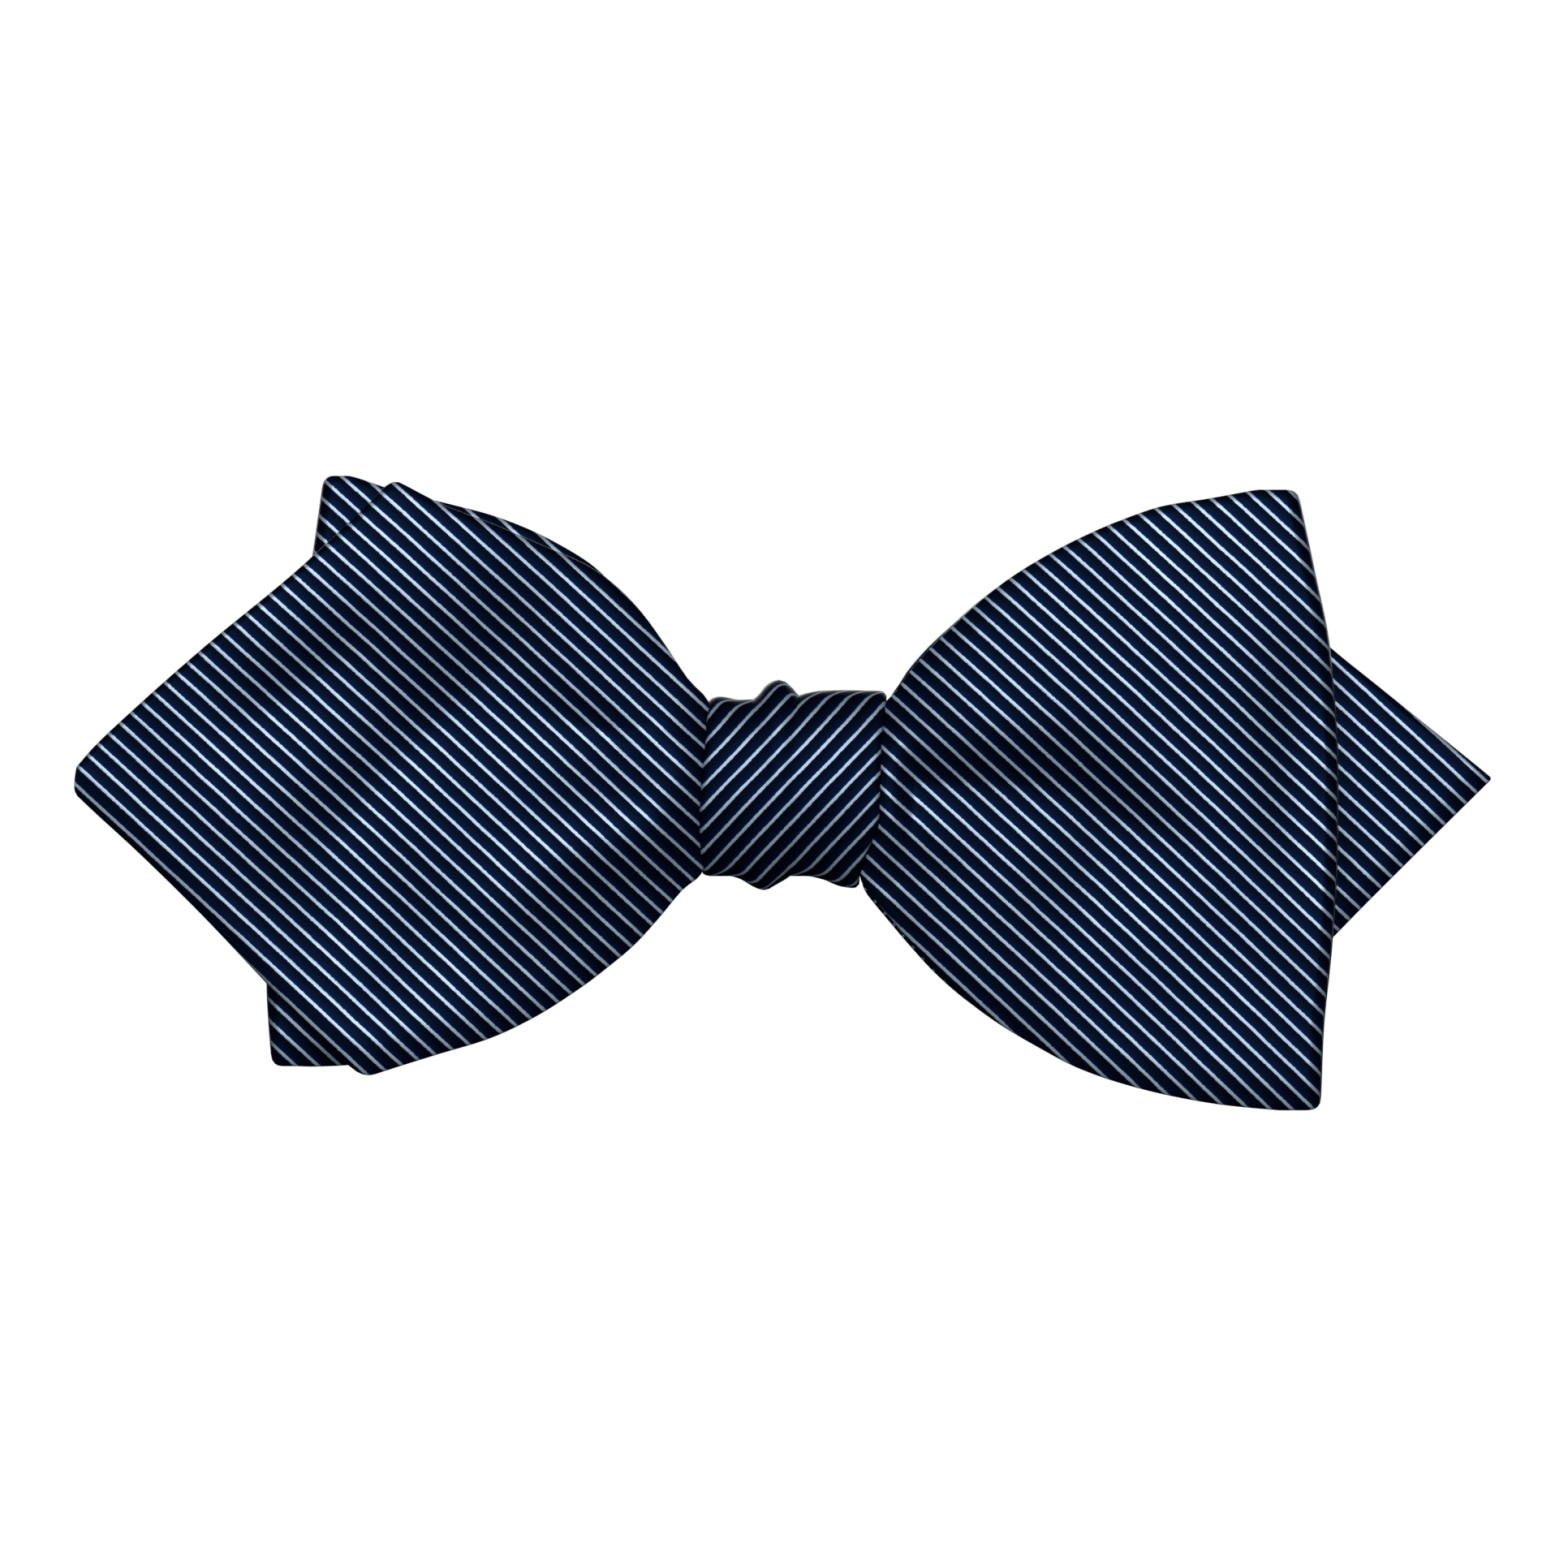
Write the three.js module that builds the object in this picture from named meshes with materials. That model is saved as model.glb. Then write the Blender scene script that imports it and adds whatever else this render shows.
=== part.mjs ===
// A self-tied bow tie of striped silk with diamond-pointed ends, tied and closed round an empty neck.
// Four pieces of cloth: the front bow and the rear bow, each one strip with a pointed leaf on one side
// and a folded loop on the other, the knot that wraps their middles, and the neckband that passes through
// the knot. Millimetres, +Z up. The bow faces -Y and +X is to the right of someone who looks at it from
// the front. The origin is the middle of the neck opening, at half the height of the neckband.
import * as THREE from "three";

// Cloth.
const clothThickness = 1.5; // two faces of silk and the interlining between them
const pieceGap = 0.45; // air between two pieces that press on each other
const rimClearance = 0.65; // between the knot's rim and the cloth that springs open beside it
const cornerSoftness = 1.3; // how far the turned corners of a leaf are rounded off
const edgeThinning = 0.25; // share of the thickness that is lost at a pressed edge

// Neckband.
const neckbandLength = 390; // along its middle line, for a collar of 15 3/8 inches
const neckbandHeight = 15.5;
const neckbandThickness = 1.6;
const neckOpeningWidth = 110; // between the middle lines of its two sides
const neckbandRoundness = 2.2; // 2 is an ellipse, more is squarer

// Knot.
const knotHalfHeight = 8.4;
const knotHalfWidth = 8.2;
const wrapThickness = 1.2;
const knotFrontRoundness = 2.6;
const knotRearRoundness = 10;
const frontGripHeight = 0.81; // height of the foremost cloth, as a share of the knot's opening
const innerGripHeight = 0.9; // height of the layers behind it
const neckbandGripHeight = 0.84;
const knotSideRounding = 0.9; // how far the front of the knot rolls back at its two rims
const waistCurl = 2.6; // how far cloth curls back in the knot at the height of the knot's opening
const curlLimit = 1.3; // share of waistCurl at which the curl levels off beyond the opening
const curlSharpness = 2.4; // 1 curls evenly from the middle, more leaves the middle flat
const gripEnd = 1.4; // where the neckband starts to widen, as a share of the knot's half width
const gripRelease = 2; // over what distance it widens, as a share of the same

// The two bows, from the middle of the knot.
const frontPointReach = 65.7;
const frontPointRise = 28.5; // upper corner of the diamond
const frontPointFall = 27.2; // lower corner of the diamond
const frontLoopReach = 49.8;
const frontLoopRise = 27.2;
const frontLoopFall = 29.9;
const rearPointReach = 65.1;
const rearPointRise = 24.0;
const rearPointFall = 25.6;
const rearLoopReach = 46.8;
const rearLoopRise = 29.0;
const rearLoopFall = 26.3;
const frontFoldRadius = 3.2; // middle line of the cloth where a loop turns back
const rearFoldRadius = 3.0;
const frontFullness = 5.0; // how far the front bow swells out in front of its middle
const rearFullness = 5.0; // how far the rear bow hangs back behind its middle
const foldDepth = 2.2; // the deepest of the soft folds
const foldWidth = 5.5; // the widest of the soft folds

// Shares of a stretch of cloth over which one shape passes into the next.
const curlSpread = 0.2; // of a wing: the curl that the knot gives passes into the wing's own
const foldStart = 0.08; // of a wing: flat cloth at the knot's rim passes into the folds
const foldFade = 0.6; // of a fold: it fades in or out
const foldOverrun = 0.15; // of a fold: how far it runs past its two ends
const tuckRun = 0.33; // of a loop: its rear layer draws in under its front layer
const joinStart = 0.25; // of a loop: its rear layer starts to rise to the level of the turn
const tailReach = 0.4; // of the knot's width: how far the short end of a bow reaches in

// Grids of the faceted solids.
const firstSpread = 0.009; // share of a wing at which its cloth has sprung open outside the knot
const columnsAcross = 17;
const leafSteps = 24;
const waistSteps = 3;
const loopFrontSteps = 15;
const loopTurnSteps = 5;
const loopRearSteps = 9;
const knotSteps = 17;
const knotSides = 34;
const neckbandSides = 72;
const bendFocus = 2; // how much closer rows lie where the outline bends
const bendReach = 0.045; // share of a stretch over which they lie closer
const ovalSteps = 720; // for measuring round the neckband

// Edge of a pointed leaf between the knot (out 0) and its corners: shares of the way from waist to
// corner.
const leafSwell = [
  { out: 0, top: 0, bottom: 0 },
  { out: 0.009, top: 0.115, bottom: 0.12 },
  { out: 0.03, top: 0.19, bottom: 0.18 },
  { out: 0.07, top: 0.33, bottom: 0.31 },
  { out: 0.11, top: 0.455, bottom: 0.425 },
  { out: 0.15, top: 0.56, bottom: 0.515 },
  { out: 0.19, top: 0.637, bottom: 0.597 },
  { out: 0.27, top: 0.735, bottom: 0.733 },
  { out: 0.34, top: 0.81, bottom: 0.831 },
  { out: 0.42, top: 0.888, bottom: 0.895 },
  { out: 0.5, top: 0.99, bottom: 0.957 },
  { out: 0.62, top: 1.12, bottom: 1.06 },
  { out: 1, top: 1.4, bottom: 1.4 },
];

// The diamond's straight edges, which cut the swell off at its corners: shares of the corner's height.
const frontDiamond = [
  { out: 0, top: 3, bottom: 3 },
  { out: 0.45, top: 1.12, bottom: 1.19 },
  { out: 0.62, top: 0.74, bottom: 0.833 },
  { out: 0.81, top: 0.424, bottom: 0.411 },
  { out: 1, top: 0.058, bottom: 0.012 },
];
const rearDiamond = [
  { out: 0, top: 3, bottom: 3 },
  { out: 0.5, top: 1.038, bottom: 1.108 },
  { out: 0.741, top: 0.525, bottom: 0.55 },
  { out: 1, top: 0.035, bottom: 0 },
];

// Edges of the two loops between the knot and the fold: shares of the way from waist to corner.
const frontLoopSwell = [
  { out: 0, top: 0, bottom: 0 },
  { out: 0.009, top: 0.1, bottom: 0.14 },
  { out: 0.03, top: 0.16, bottom: 0.205 },
  { out: 0.06, top: 0.235, bottom: 0.27 },
  { out: 0.12, top: 0.35, bottom: 0.375 },
  { out: 0.18, top: 0.435, bottom: 0.463 },
  { out: 0.25, top: 0.531, bottom: 0.567 },
  { out: 0.33, top: 0.627, bottom: 0.665 },
  { out: 0.42, top: 0.72, bottom: 0.751 },
  { out: 0.52, top: 0.804, bottom: 0.837 },
  { out: 0.63, top: 0.88, bottom: 0.901 },
  { out: 0.75, top: 0.943, bottom: 0.948 },
  { out: 0.87, top: 0.978, bottom: 0.976 },
  { out: 1, top: 1.012, bottom: 1 },
];
const rearLoopSwell = [
  { out: 0, top: 0, bottom: 0 },
  { out: 0.01, top: 0.07, bottom: 0.09 },
  { out: 0.06, top: 0.14, bottom: 0.16 },
  { out: 0.12, top: 0.25, bottom: 0.238 },
  { out: 0.18, top: 0.393, bottom: 0.332 },
  { out: 0.25, top: 0.531, bottom: 0.446 },
  { out: 0.33, top: 0.638, bottom: 0.56 },
  { out: 0.42, top: 0.719, bottom: 0.674 },
  { out: 0.52, top: 0.786, bottom: 0.777 },
  { out: 0.63, top: 0.842, bottom: 0.87 },
  { out: 0.75, top: 0.884, bottom: 0.933 },
  { out: 0.87, top: 0.924, bottom: 0.974 },
  { out: 1, top: 0.985, bottom: 1 },
];

// Where a loop is folded, by height (1 is its top edge, -1 its bottom edge): shares of the loop's reach.
const frontFoldLine = [
  { height: -1, reach: 0.972 },
  { height: -0.76, reach: 0.976 },
  { height: -0.47, reach: 0.991 },
  { height: -0.15, reach: 1.0 },
  { height: 0.1, reach: 1.001 },
  { height: 0.48, reach: 0.99 },
  { height: 0.74, reach: 0.962 },
  { height: 1, reach: 0.93 },
];
const rearFoldLine = [
  { height: -1, reach: 1.02 },
  { height: -0.7, reach: 1.03 },
  { height: 0, reach: 1.0 },
  { height: 0.73, reach: 0.936 },
  { height: 1, reach: 0.913 },
];

// Depth of each layer from the knot outwards. swell is a share of the bow's fullness, towards the front
// where it is more than 0, and roll is how far the upper and lower edges curl back, as a share of the
// waist's curl.
const frontLeafDepth = [
  { out: 0, swell: 0, roll: 1 },
  { out: 0.03, swell: 0.22, roll: 1 },
  { out: 0.1, swell: 0.5, roll: 1.1 },
  { out: 0.28, swell: 0.95, roll: 1.4 },
  { out: 0.5, swell: 1, roll: 1.45 },
  { out: 0.75, swell: 0.68, roll: 0.9 },
  { out: 1, swell: 0.25, roll: 0.2 },
];
const frontLoopFrontDepth = [
  { out: 0, swell: 0, roll: 1 },
  { out: 0.03, swell: 0.2, roll: 1 },
  { out: 0.12, swell: 0.5, roll: 1.1 },
  { out: 0.35, swell: 1, roll: 1.4 },
  { out: 0.62, swell: 1.05, roll: 1.4 },
  { out: 0.85, swell: 0.8, roll: 1 },
  { out: 1, swell: 0.5, roll: 0.7 },
];
const frontLoopRearDepth = [
  { out: 0, swell: 0, roll: 1 },
  { out: 0.35, swell: -0.1, roll: 0.7 },
  { out: 0.7, swell: -0.3, roll: 0.5 },
];
const rearLoopFrontDepth = [
  { out: 0, swell: 0, roll: 1 },
  { out: 0.2, swell: 0.12, roll: 1 },
  { out: 0.6, swell: 0.1, roll: 1 },
  { out: 1, swell: -0.1, roll: 0.7 },
];
const rearLoopRearDepth = [
  { out: 0, swell: 0, roll: 1 },
  { out: 0.04, swell: -0.15, roll: 1 },
  { out: 0.3, swell: -0.5, roll: 0.6 },
  { out: 0.7, swell: -0.85, roll: 0.4 },
];
const rearLeafDepth = [
  { out: 0, swell: 0, roll: 1 },
  { out: 0.03, swell: -0.15, roll: 1 },
  { out: 0.3, swell: -0.5, roll: 0.7 },
  { out: 0.6, swell: -0.7, roll: 0.6 },
  { out: 1, swell: -0.55, roll: 0.1 },
];

// Soft folds of the two layers that face forward, each along a line from its start to its end. out and
// rise are shares of the wing's reach and of its height above or below the middle. depth is a share of
// foldDepth, and less than 0 on a ridge. width is a share of foldWidth. A fold with held 1 is pinched by
// the knot at its start.
const frontLeafFolds = [
  { out: 0.33, rise: 0.54, outEnd: 0.65, riseEnd: -0.27, depth: 1, width: 1, held: 0 },
  { out: 0.58, rise: 0.55, outEnd: 0.79, riseEnd: 0.17, depth: 0.5, width: 0.62, held: 0 },
  { out: 0.13, rise: 0.03, outEnd: 0.36, riseEnd: 0.28, depth: 0.4, width: 0.4, held: 1 },
  { out: 0.13, rise: -0.12, outEnd: 0.5, riseEnd: -0.4, depth: -0.8, width: 0.75, held: 1 },
];
const frontLoopFolds = [
  { out: 0.14, rise: 0.03, outEnd: 0.74, riseEnd: -0.1, depth: 1.2, width: 0.55, held: 1 },
  { out: 0.2, rise: 0.3, outEnd: 0.95, riseEnd: 0.27, depth: -0.35, width: 1, held: 1 },
  { out: 0.25, rise: -0.45, outEnd: 0.98, riseEnd: -0.66, depth: -0.4, width: 1.2, held: 0 },
  { out: 0.88, rise: 0.45, outEnd: 0.88, riseEnd: -0.5, depth: 0.22, width: 0.6, held: 0 },
];

// The knot's upper and lower outline from its left rim (-1) to its right rim (1): shares of its half
// height. The pinch that shows as a small peak above and below stands a little to the left of the middle.
const knotOutline = [
  { across: -1, top: 0.93, bottom: 0.98 },
  { across: -0.88, top: 0.985, bottom: 1.0 },
  { across: -0.65, top: 0.95, bottom: 1.0 },
  { across: -0.48, top: 0.955, bottom: 1.04 },
  { across: -0.34, top: 1.02, bottom: 1.11 },
  { across: -0.23, top: 1.11, bottom: 1.16 },
  { across: -0.12, top: 1.16, bottom: 1.11 },
  { across: 0, top: 1.09, bottom: 1.06 },
  { across: 0.11, top: 1.01, bottom: 1.0 },
  { across: 0.3, top: 1.05, bottom: 1.0 },
  { across: 0.55, top: 1.045, bottom: 1.04 },
  { across: 0.8, top: 1.035, bottom: 1.1 },
  { across: 1, top: 1.03, bottom: 1.12 },
];

// The knot's two rims by height: shares of its half width. The right rim slants in under the right-hand
// loop.
const knotRims = [
  { height: -1, left: -1.0, right: 0.78 },
  { height: -0.7, left: -1.02, right: 0.87 },
  { height: -0.4, left: -1.02, right: 0.99 },
  { height: 0, left: -1.0, right: 1.005 },
  { height: 0.5, left: -0.95, right: 1.02 },
  { height: 0.85, left: -0.93, right: 1.07 },
  { height: 1, left: -0.925, right: 1.09 },
];

const lerp = THREE.MathUtils.lerp;

function smoothstep(share) {
  return THREE.MathUtils.smoothstep(share, 0, 1);
}

// The value of a table's column at a place along its key column, on a smooth curve that doesn't
// overshoot.
function read(table, key, column, at) {
  const place = THREE.MathUtils.clamp(at, table[0][key], table.at(-1)[key]);
  let i = 0;
  while (i < table.length - 2 && table[i + 1][key] < place) {
    i += 1;
  }
  const slope = (k) => (table[k + 1][column] - table[k][column]) / (table[k + 1][key] - table[k][key]);
  const tangent = (k) => {
    const before = slope(Math.max(k - 1, 0));
    const after = slope(Math.min(k, table.length - 2));
    return before * after <= 0 ? 0 : (2 * before * after) / (before + after);
  };
  const span = table[i + 1][key] - table[i][key];
  const t = (place - table[i][key]) / span;
  return (
    table[i][column] * (1 + 2 * t) * (1 - t) ** 2 +
    span * tangent(i) * t * (1 - t) ** 2 +
    table[i + 1][column] * t * t * (3 - 2 * t) +
    span * tangent(i + 1) * t * t * (t - 1)
  );
}

// The smaller of two heights, with the corner between them rounded off.
function softLower(a, b, softness) {
  const near = Math.max(softness - Math.abs(a - b), 0) / softness;
  return Math.min(a, b) - (near * near * softness) / 4;
}

// Sizes of the neckband's oval: half its width and, from its length, half its depth.
const neckHalfWidth = neckOpeningWidth / 2;

// A point on the oval, with angle 0 at the knot.
function ovalPoint(angle, halfWidth, halfDepth) {
  const power = 2 / neckbandRoundness;
  const s = Math.sin(angle);
  const c = Math.cos(angle);
  return new THREE.Vector2(
    halfWidth * Math.sign(s) * Math.abs(s) ** power,
    -halfDepth * Math.sign(c) * Math.abs(c) ** power,
  );
}

function ovalLength(halfDepth) {
  let total = 0;
  for (let i = 0; i < ovalSteps; i += 1) {
    const here = ovalPoint((i / ovalSteps) * 2 * Math.PI, neckHalfWidth, halfDepth);
    const next = ovalPoint(((i + 1) / ovalSteps) * 2 * Math.PI, neckHalfWidth, halfDepth);
    total += here.distanceTo(next);
  }
  return total;
}

// Half the depth that gives the oval its length, found by halving the range it lies in.
function solveHalfDepth() {
  let low = 0;
  let high = neckbandLength;
  while (high - low > pieceGap / ovalSteps) {
    const middle = (low + high) / 2;
    const tooShort = ovalLength(middle) < neckbandLength;
    low = tooShort ? middle : low;
    high = tooShort ? high : middle;
  }
  return low;
}

const neckHalfDepth = solveHalfDepth();

// How far the neckband's middle line lies behind its foremost point, at a distance to the side.
function neckbandSetback(x) {
  const share = Math.min(Math.abs(x) / neckHalfWidth, 1);
  return neckHalfDepth * (1 - (1 - share ** neckbandRoundness) ** (1 / neckbandRoundness));
}

// What passes through the knot, from the neckband forward. The edges of the bows curl back there by
// waistCurl, to follow the knot's round front.
const rimSetback = neckbandSetback(knotHalfWidth * knotRims.at(-1).right);
const openingRise = knotHalfHeight * knotOutline[0].top - wrapThickness;
const openingFall = knotHalfHeight * knotOutline[0].bottom - wrapThickness;
const neckbandFront = -neckHalfDepth - neckbandThickness / 2;
const layerPitch = clothThickness + pieceGap;
const rearLayer = neckbandFront - pieceGap - curl(innerGripHeight) - clothThickness / 2;
const middleLayer = rearLayer - layerPitch;
const frontLayer = middleLayer - layerPitch;
const cavityFront = frontLayer - clothThickness / 2 - pieceGap;
const cavityRear = -neckHalfDepth + rimSetback + neckbandThickness / 2 + pieceGap;
const cavityMiddle = (cavityFront + cavityRear) / 2;
const cavityHalfDepth = (cavityRear - cavityFront) / 2;

// A wing's edge above (side 1) or below (side -1) its middle, at a share of the way out from the knot.
function leafEdge(out, side, rise, fall, diamond, grip) {
  const column = side > 0 ? "top" : "bottom";
  const corner = side > 0 ? rise : fall;
  const waist = grip * (side > 0 ? openingRise : openingFall);
  const swell = lerp(waist, corner, read(leafSwell, "out", column, out));
  const straight = corner * read(diamond, "out", column, out);
  return softLower(swell, straight, cornerSoftness);
}

function loopEdge(out, side, rise, fall, table, grip) {
  const column = side > 0 ? "top" : "bottom";
  const corner = side > 0 ? rise : fall;
  const waist = grip * (side > 0 ? openingRise : openingFall);
  return lerp(waist, corner, read(table, "out", column, Math.min(out, 1)));
}

// How far folds push the cloth back at a place on a wing.
function foldPush(folds, x, z, reach, rise, fall) {
  let push = 0;
  for (const fold of folds) {
    const heightOf = (share) => share * (share > 0 ? rise : fall);
    const start = new THREE.Vector2(fold.out * reach, heightOf(fold.rise));
    const end = new THREE.Vector2(fold.outEnd * reach, heightOf(fold.riseEnd));
    const line = end.clone().sub(start);
    const from = new THREE.Vector2(Math.abs(x), z).sub(start);
    const along = from.dot(line) / line.lengthSq();
    const aside = from.cross(line) / line.length();
    const fadeOut = smoothstep((1 + foldOverrun - along) / foldFade);
    const fadeIn = fold.held ? 1 : smoothstep((along + foldOverrun) / foldFade);
    const width = fold.width * foldWidth * (fold.held ? lerp(0.6, 1, smoothstep(along)) : 1);
    push += fold.depth * foldDepth * fadeIn * fadeOut * Math.exp(-((aside / width) ** 2));
  }
  return push;
}

// Height of a point across the cloth: share runs from -1 at the lower edge to 1 at the upper edge.
function heightAcross(share, top, bottom) {
  return lerp(-bottom, top, (share + 1) / 2);
}

// How far cloth curls back at a height, 1 being the top or bottom of the knot's opening, and levels off
// beyond.
function curl(height) {
  return waistCurl * curlLimit * Math.tanh(Math.abs(height) ** curlSharpness / curlLimit);
}

// The curl of a wing: as in the knot near its rim, and spread over the whole height of the wing further
// out.
function wingCurl(out, share, z, grip) {
  const opening = z > 0 ? openingRise : openingFall;
  return lerp(curl(z / opening), curl(share * grip), smoothstep(out / curlSpread));
}

// Where a wing starts to spread, just outside the knot's rim.
function rimAt(share, side) {
  const rim = Math.abs(read(knotRims, "height", side > 0 ? "right" : "left", share));
  return rim * knotHalfWidth + rimClearance;
}

// Shares of the way along a wing at which its rows lie, closer together where the outline bends.
function spread(steps, bends) {
  const closeness = (at) =>
    bends.reduce((sum, bend) => sum + bendFocus * Math.exp(-(((at - bend) / bendReach) ** 2)), 1);
  const shares = [0, firstSpread];
  const fine = steps * ovalSteps;
  const marks = Array.from({ length: fine }, (_, i) => closeness((i + 0.5) / fine));
  const stride = marks.reduce((a, b) => a + b, 0) / (steps - 1);
  let run = 0;
  marks.forEach((mark, i) => {
    run += mark;
    if (run > (shares.length - 1) * stride && shares.length < steps) {
      shares.push((i + 1) / fine);
    }
  });
  shares.push(1);
  return shares;
}

// One bow: a strip that starts in the knot, goes out as the hidden layer of its loop, turns at the fold,
// comes back as the loop's other layer, passes through the knot and ends in the pointed leaf on the other
// side.
function bowStrip(bow) {
  const acrossShares = Array.from({ length: columnsAcross }, (_, j) => (2 * j) / (columnsAcross - 1) - 1);
  const rows = [];
  const { loopSide, loop, leaf } = bow;
  const foldAt = (share) => read(loop.foldLine, "height", "reach", share) * loop.reach;

  // A point of one layer of the loop, at a share of the way from the rim to where the fold begins.
  const layerPoint = (out, share, layer, depths) => {
    const rim = rimAt(share, loopSide);
    const x = lerp(rim, foldAt(share) - loop.foldRadius, out);
    const shrink = 1 - layer.tuck * smoothstep(out / tuckRun);
    const z = heightAcross(
      share,
      loopEdge(out, 1, loop.rise, loop.fall, loop.swell, layer.grip) * shrink,
      loopEdge(out, -1, loop.rise, loop.fall, loop.swell, layer.grip) * shrink,
    );
    const swell = read(depths, "out", "swell", out) * bow.fullness;
    const roll = wingCurl(out, share, z, layer.grip) * read(depths, "out", "roll", out);
    return { x, z, y: layer.depth - swell + roll };
  };
  const frontPoint = (out, share) => {
    const p = layerPoint(out, share, loop.front, loop.front.depths);
    const push = foldPush(loop.folds, p.x, p.z, loop.reach, loop.rise, loop.fall);
    return new THREE.Vector3(p.x * loopSide, p.y + push * smoothstep(out / foldStart), p.z);
  };
  // The turn starts level with the front layer and ends two fold radii behind it.
  const turnPoint = (angle, share) => {
    const start = frontPoint(1, share);
    const x = foldAt(share) - loop.foldRadius * (1 - Math.sin(angle));
    const y = start.y + loop.foldRadius * (1 - Math.cos(angle));
    const shrink = lerp(1, 1 - loop.rear.tuck, smoothstep(angle / Math.PI));
    return new THREE.Vector3(x * loopSide, y, start.z * shrink);
  };
  // The rear layer leaves the turn where that ends and comes to its own depth on the way to the knot.
  const rearPoint = (out, share) => {
    const own = layerPoint(out, share, loop.rear, loop.rear.depths);
    const end = turnPoint(Math.PI, share);
    const y = lerp(own.y, end.y, smoothstep((out - joinStart) / (1 - joinStart)));
    return new THREE.Vector3(own.x * loopSide, y, own.z);
  };
  const waistPoint = (along, share, layer) => {
    const x = lerp(rimAt(share, loopSide) * loopSide, -rimAt(share, -loopSide) * loopSide, along);
    const z = heightAcross(share, layer.grip * openingRise, layer.grip * openingFall);
    return new THREE.Vector3(x, layer.depth + curl(share * layer.grip), z);
  };
  const leafPoint = (out, share) => {
    const rim = rimAt(share, -loopSide);
    const x = lerp(rim, leaf.reach, out);
    const z = heightAcross(
      share,
      leafEdge(out, 1, leaf.rise, leaf.fall, leaf.diamond, leaf.grip),
      leafEdge(out, -1, leaf.rise, leaf.fall, leaf.diamond, leaf.grip),
    );
    const swell = read(leaf.depths, "out", "swell", out) * bow.fullness;
    const roll = wingCurl(out, share, z, leaf.grip) * read(leaf.depths, "out", "roll", out);
    const push = foldPush(leaf.folds, x, z, leaf.reach, leaf.rise, leaf.fall) * smoothstep(out / foldStart);
    return new THREE.Vector3(-x * loopSide, leaf.depth - swell + roll + push, z);
  };

  // The short end of the strip reaches into the knot and stops before its middle.
  const hidden = bow.leafIsFront ? rearPoint : frontPoint;
  const shown = bow.leafIsFront ? frontPoint : rearPoint;
  const hiddenLayer = bow.leafIsFront ? loop.rear : loop.front;
  const hiddenSteps = bow.leafIsFront ? loopRearSteps : loopFrontSteps;
  const shownSteps = bow.leafIsFront ? loopFrontSteps : loopRearSteps;
  const row = (pointAt) => rows.push(acrossShares.map(pointAt));
  row((share) => waistPoint(tailReach, share, hiddenLayer));
  row((share) => waistPoint(tailReach / 2, share, hiddenLayer));
  for (const out of spread(hiddenSteps, [firstSpread])) {
    row((share) => hidden(out, share));
  }
  for (let i = 1; i < loopTurnSteps; i += 1) {
    const angle = (i / loopTurnSteps) * Math.PI;
    row((share) => turnPoint(bow.leafIsFront ? Math.PI - angle : angle, share));
  }
  for (const out of spread(shownSteps, [firstSpread]).reverse()) {
    row((share) => shown(out, share));
  }
  for (let i = 1; i < waistSteps; i += 1) {
    row((share) => waistPoint(i / waistSteps, share, leaf));
  }
  for (const out of spread(leafSteps, [firstSpread, leaf.cornerOut, 1])) {
    row((share) => leafPoint(out, share));
  }
  return rows;
}

// A closed solid from two skins of points, rows by columns, and the rim that joins them.
function solidBetween(skinA, skinB, material, name) {
  const rowCount = skinA.length;
  const columnCount = skinA[0].length;
  const positions = [skinA, skinB].flat(2).flatMap((point) => point.toArray());
  const a = (i, j) => i * columnCount + j;
  const b = (i, j) => rowCount * columnCount + a(i, j);
  const index = [];
  const quad = (p, q, r, s) => index.push(p, q, r, p, r, s);
  for (let i = 0; i < rowCount - 1; i += 1) {
    for (let j = 0; j < columnCount - 1; j += 1) {
      quad(a(i, j), a(i + 1, j), a(i + 1, j + 1), a(i, j + 1));
      quad(b(i, j), b(i, j + 1), b(i + 1, j + 1), b(i + 1, j));
    }
  }
  const lastRow = rowCount - 1;
  const lastColumn = columnCount - 1;
  for (let i = 0; i < lastRow; i += 1) {
    quad(a(i, 0), b(i, 0), b(i + 1, 0), a(i + 1, 0));
    quad(a(i, lastColumn), a(i + 1, lastColumn), b(i + 1, lastColumn), b(i, lastColumn));
  }
  for (let j = 0; j < lastColumn; j += 1) {
    quad(a(0, j), a(0, j + 1), b(0, j + 1), b(0, j));
    quad(a(lastRow, j), b(lastRow, j), b(lastRow, j + 1), a(lastRow, j + 1));
  }
  return meshOf(positions, index, material, name);
}

// A closed ring from an outer and an inner skin: rows run from rim to rim, and columns once round.
function ringBetween(outer, inner, material, name) {
  const rowCount = outer.length;
  const columnCount = outer[0].length;
  const positions = [outer, inner].flat(2).flatMap((point) => point.toArray());
  const a = (i, j) => i * columnCount + (j % columnCount);
  const b = (i, j) => rowCount * columnCount + a(i, j);
  const index = [];
  const quad = (p, q, r, s) => index.push(p, q, r, p, r, s);
  for (let j = 0; j < columnCount; j += 1) {
    for (let i = 0; i < rowCount - 1; i += 1) {
      quad(a(i, j), a(i + 1, j), a(i + 1, j + 1), a(i, j + 1));
      quad(b(i, j), b(i, j + 1), b(i + 1, j + 1), b(i + 1, j));
    }
    quad(a(0, j), a(0, j + 1), b(0, j + 1), b(0, j));
    quad(a(rowCount - 1, j), b(rowCount - 1, j), b(rowCount - 1, j + 1), a(rowCount - 1, j + 1));
  }
  return meshOf(positions, index, material, name);
}

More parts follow.
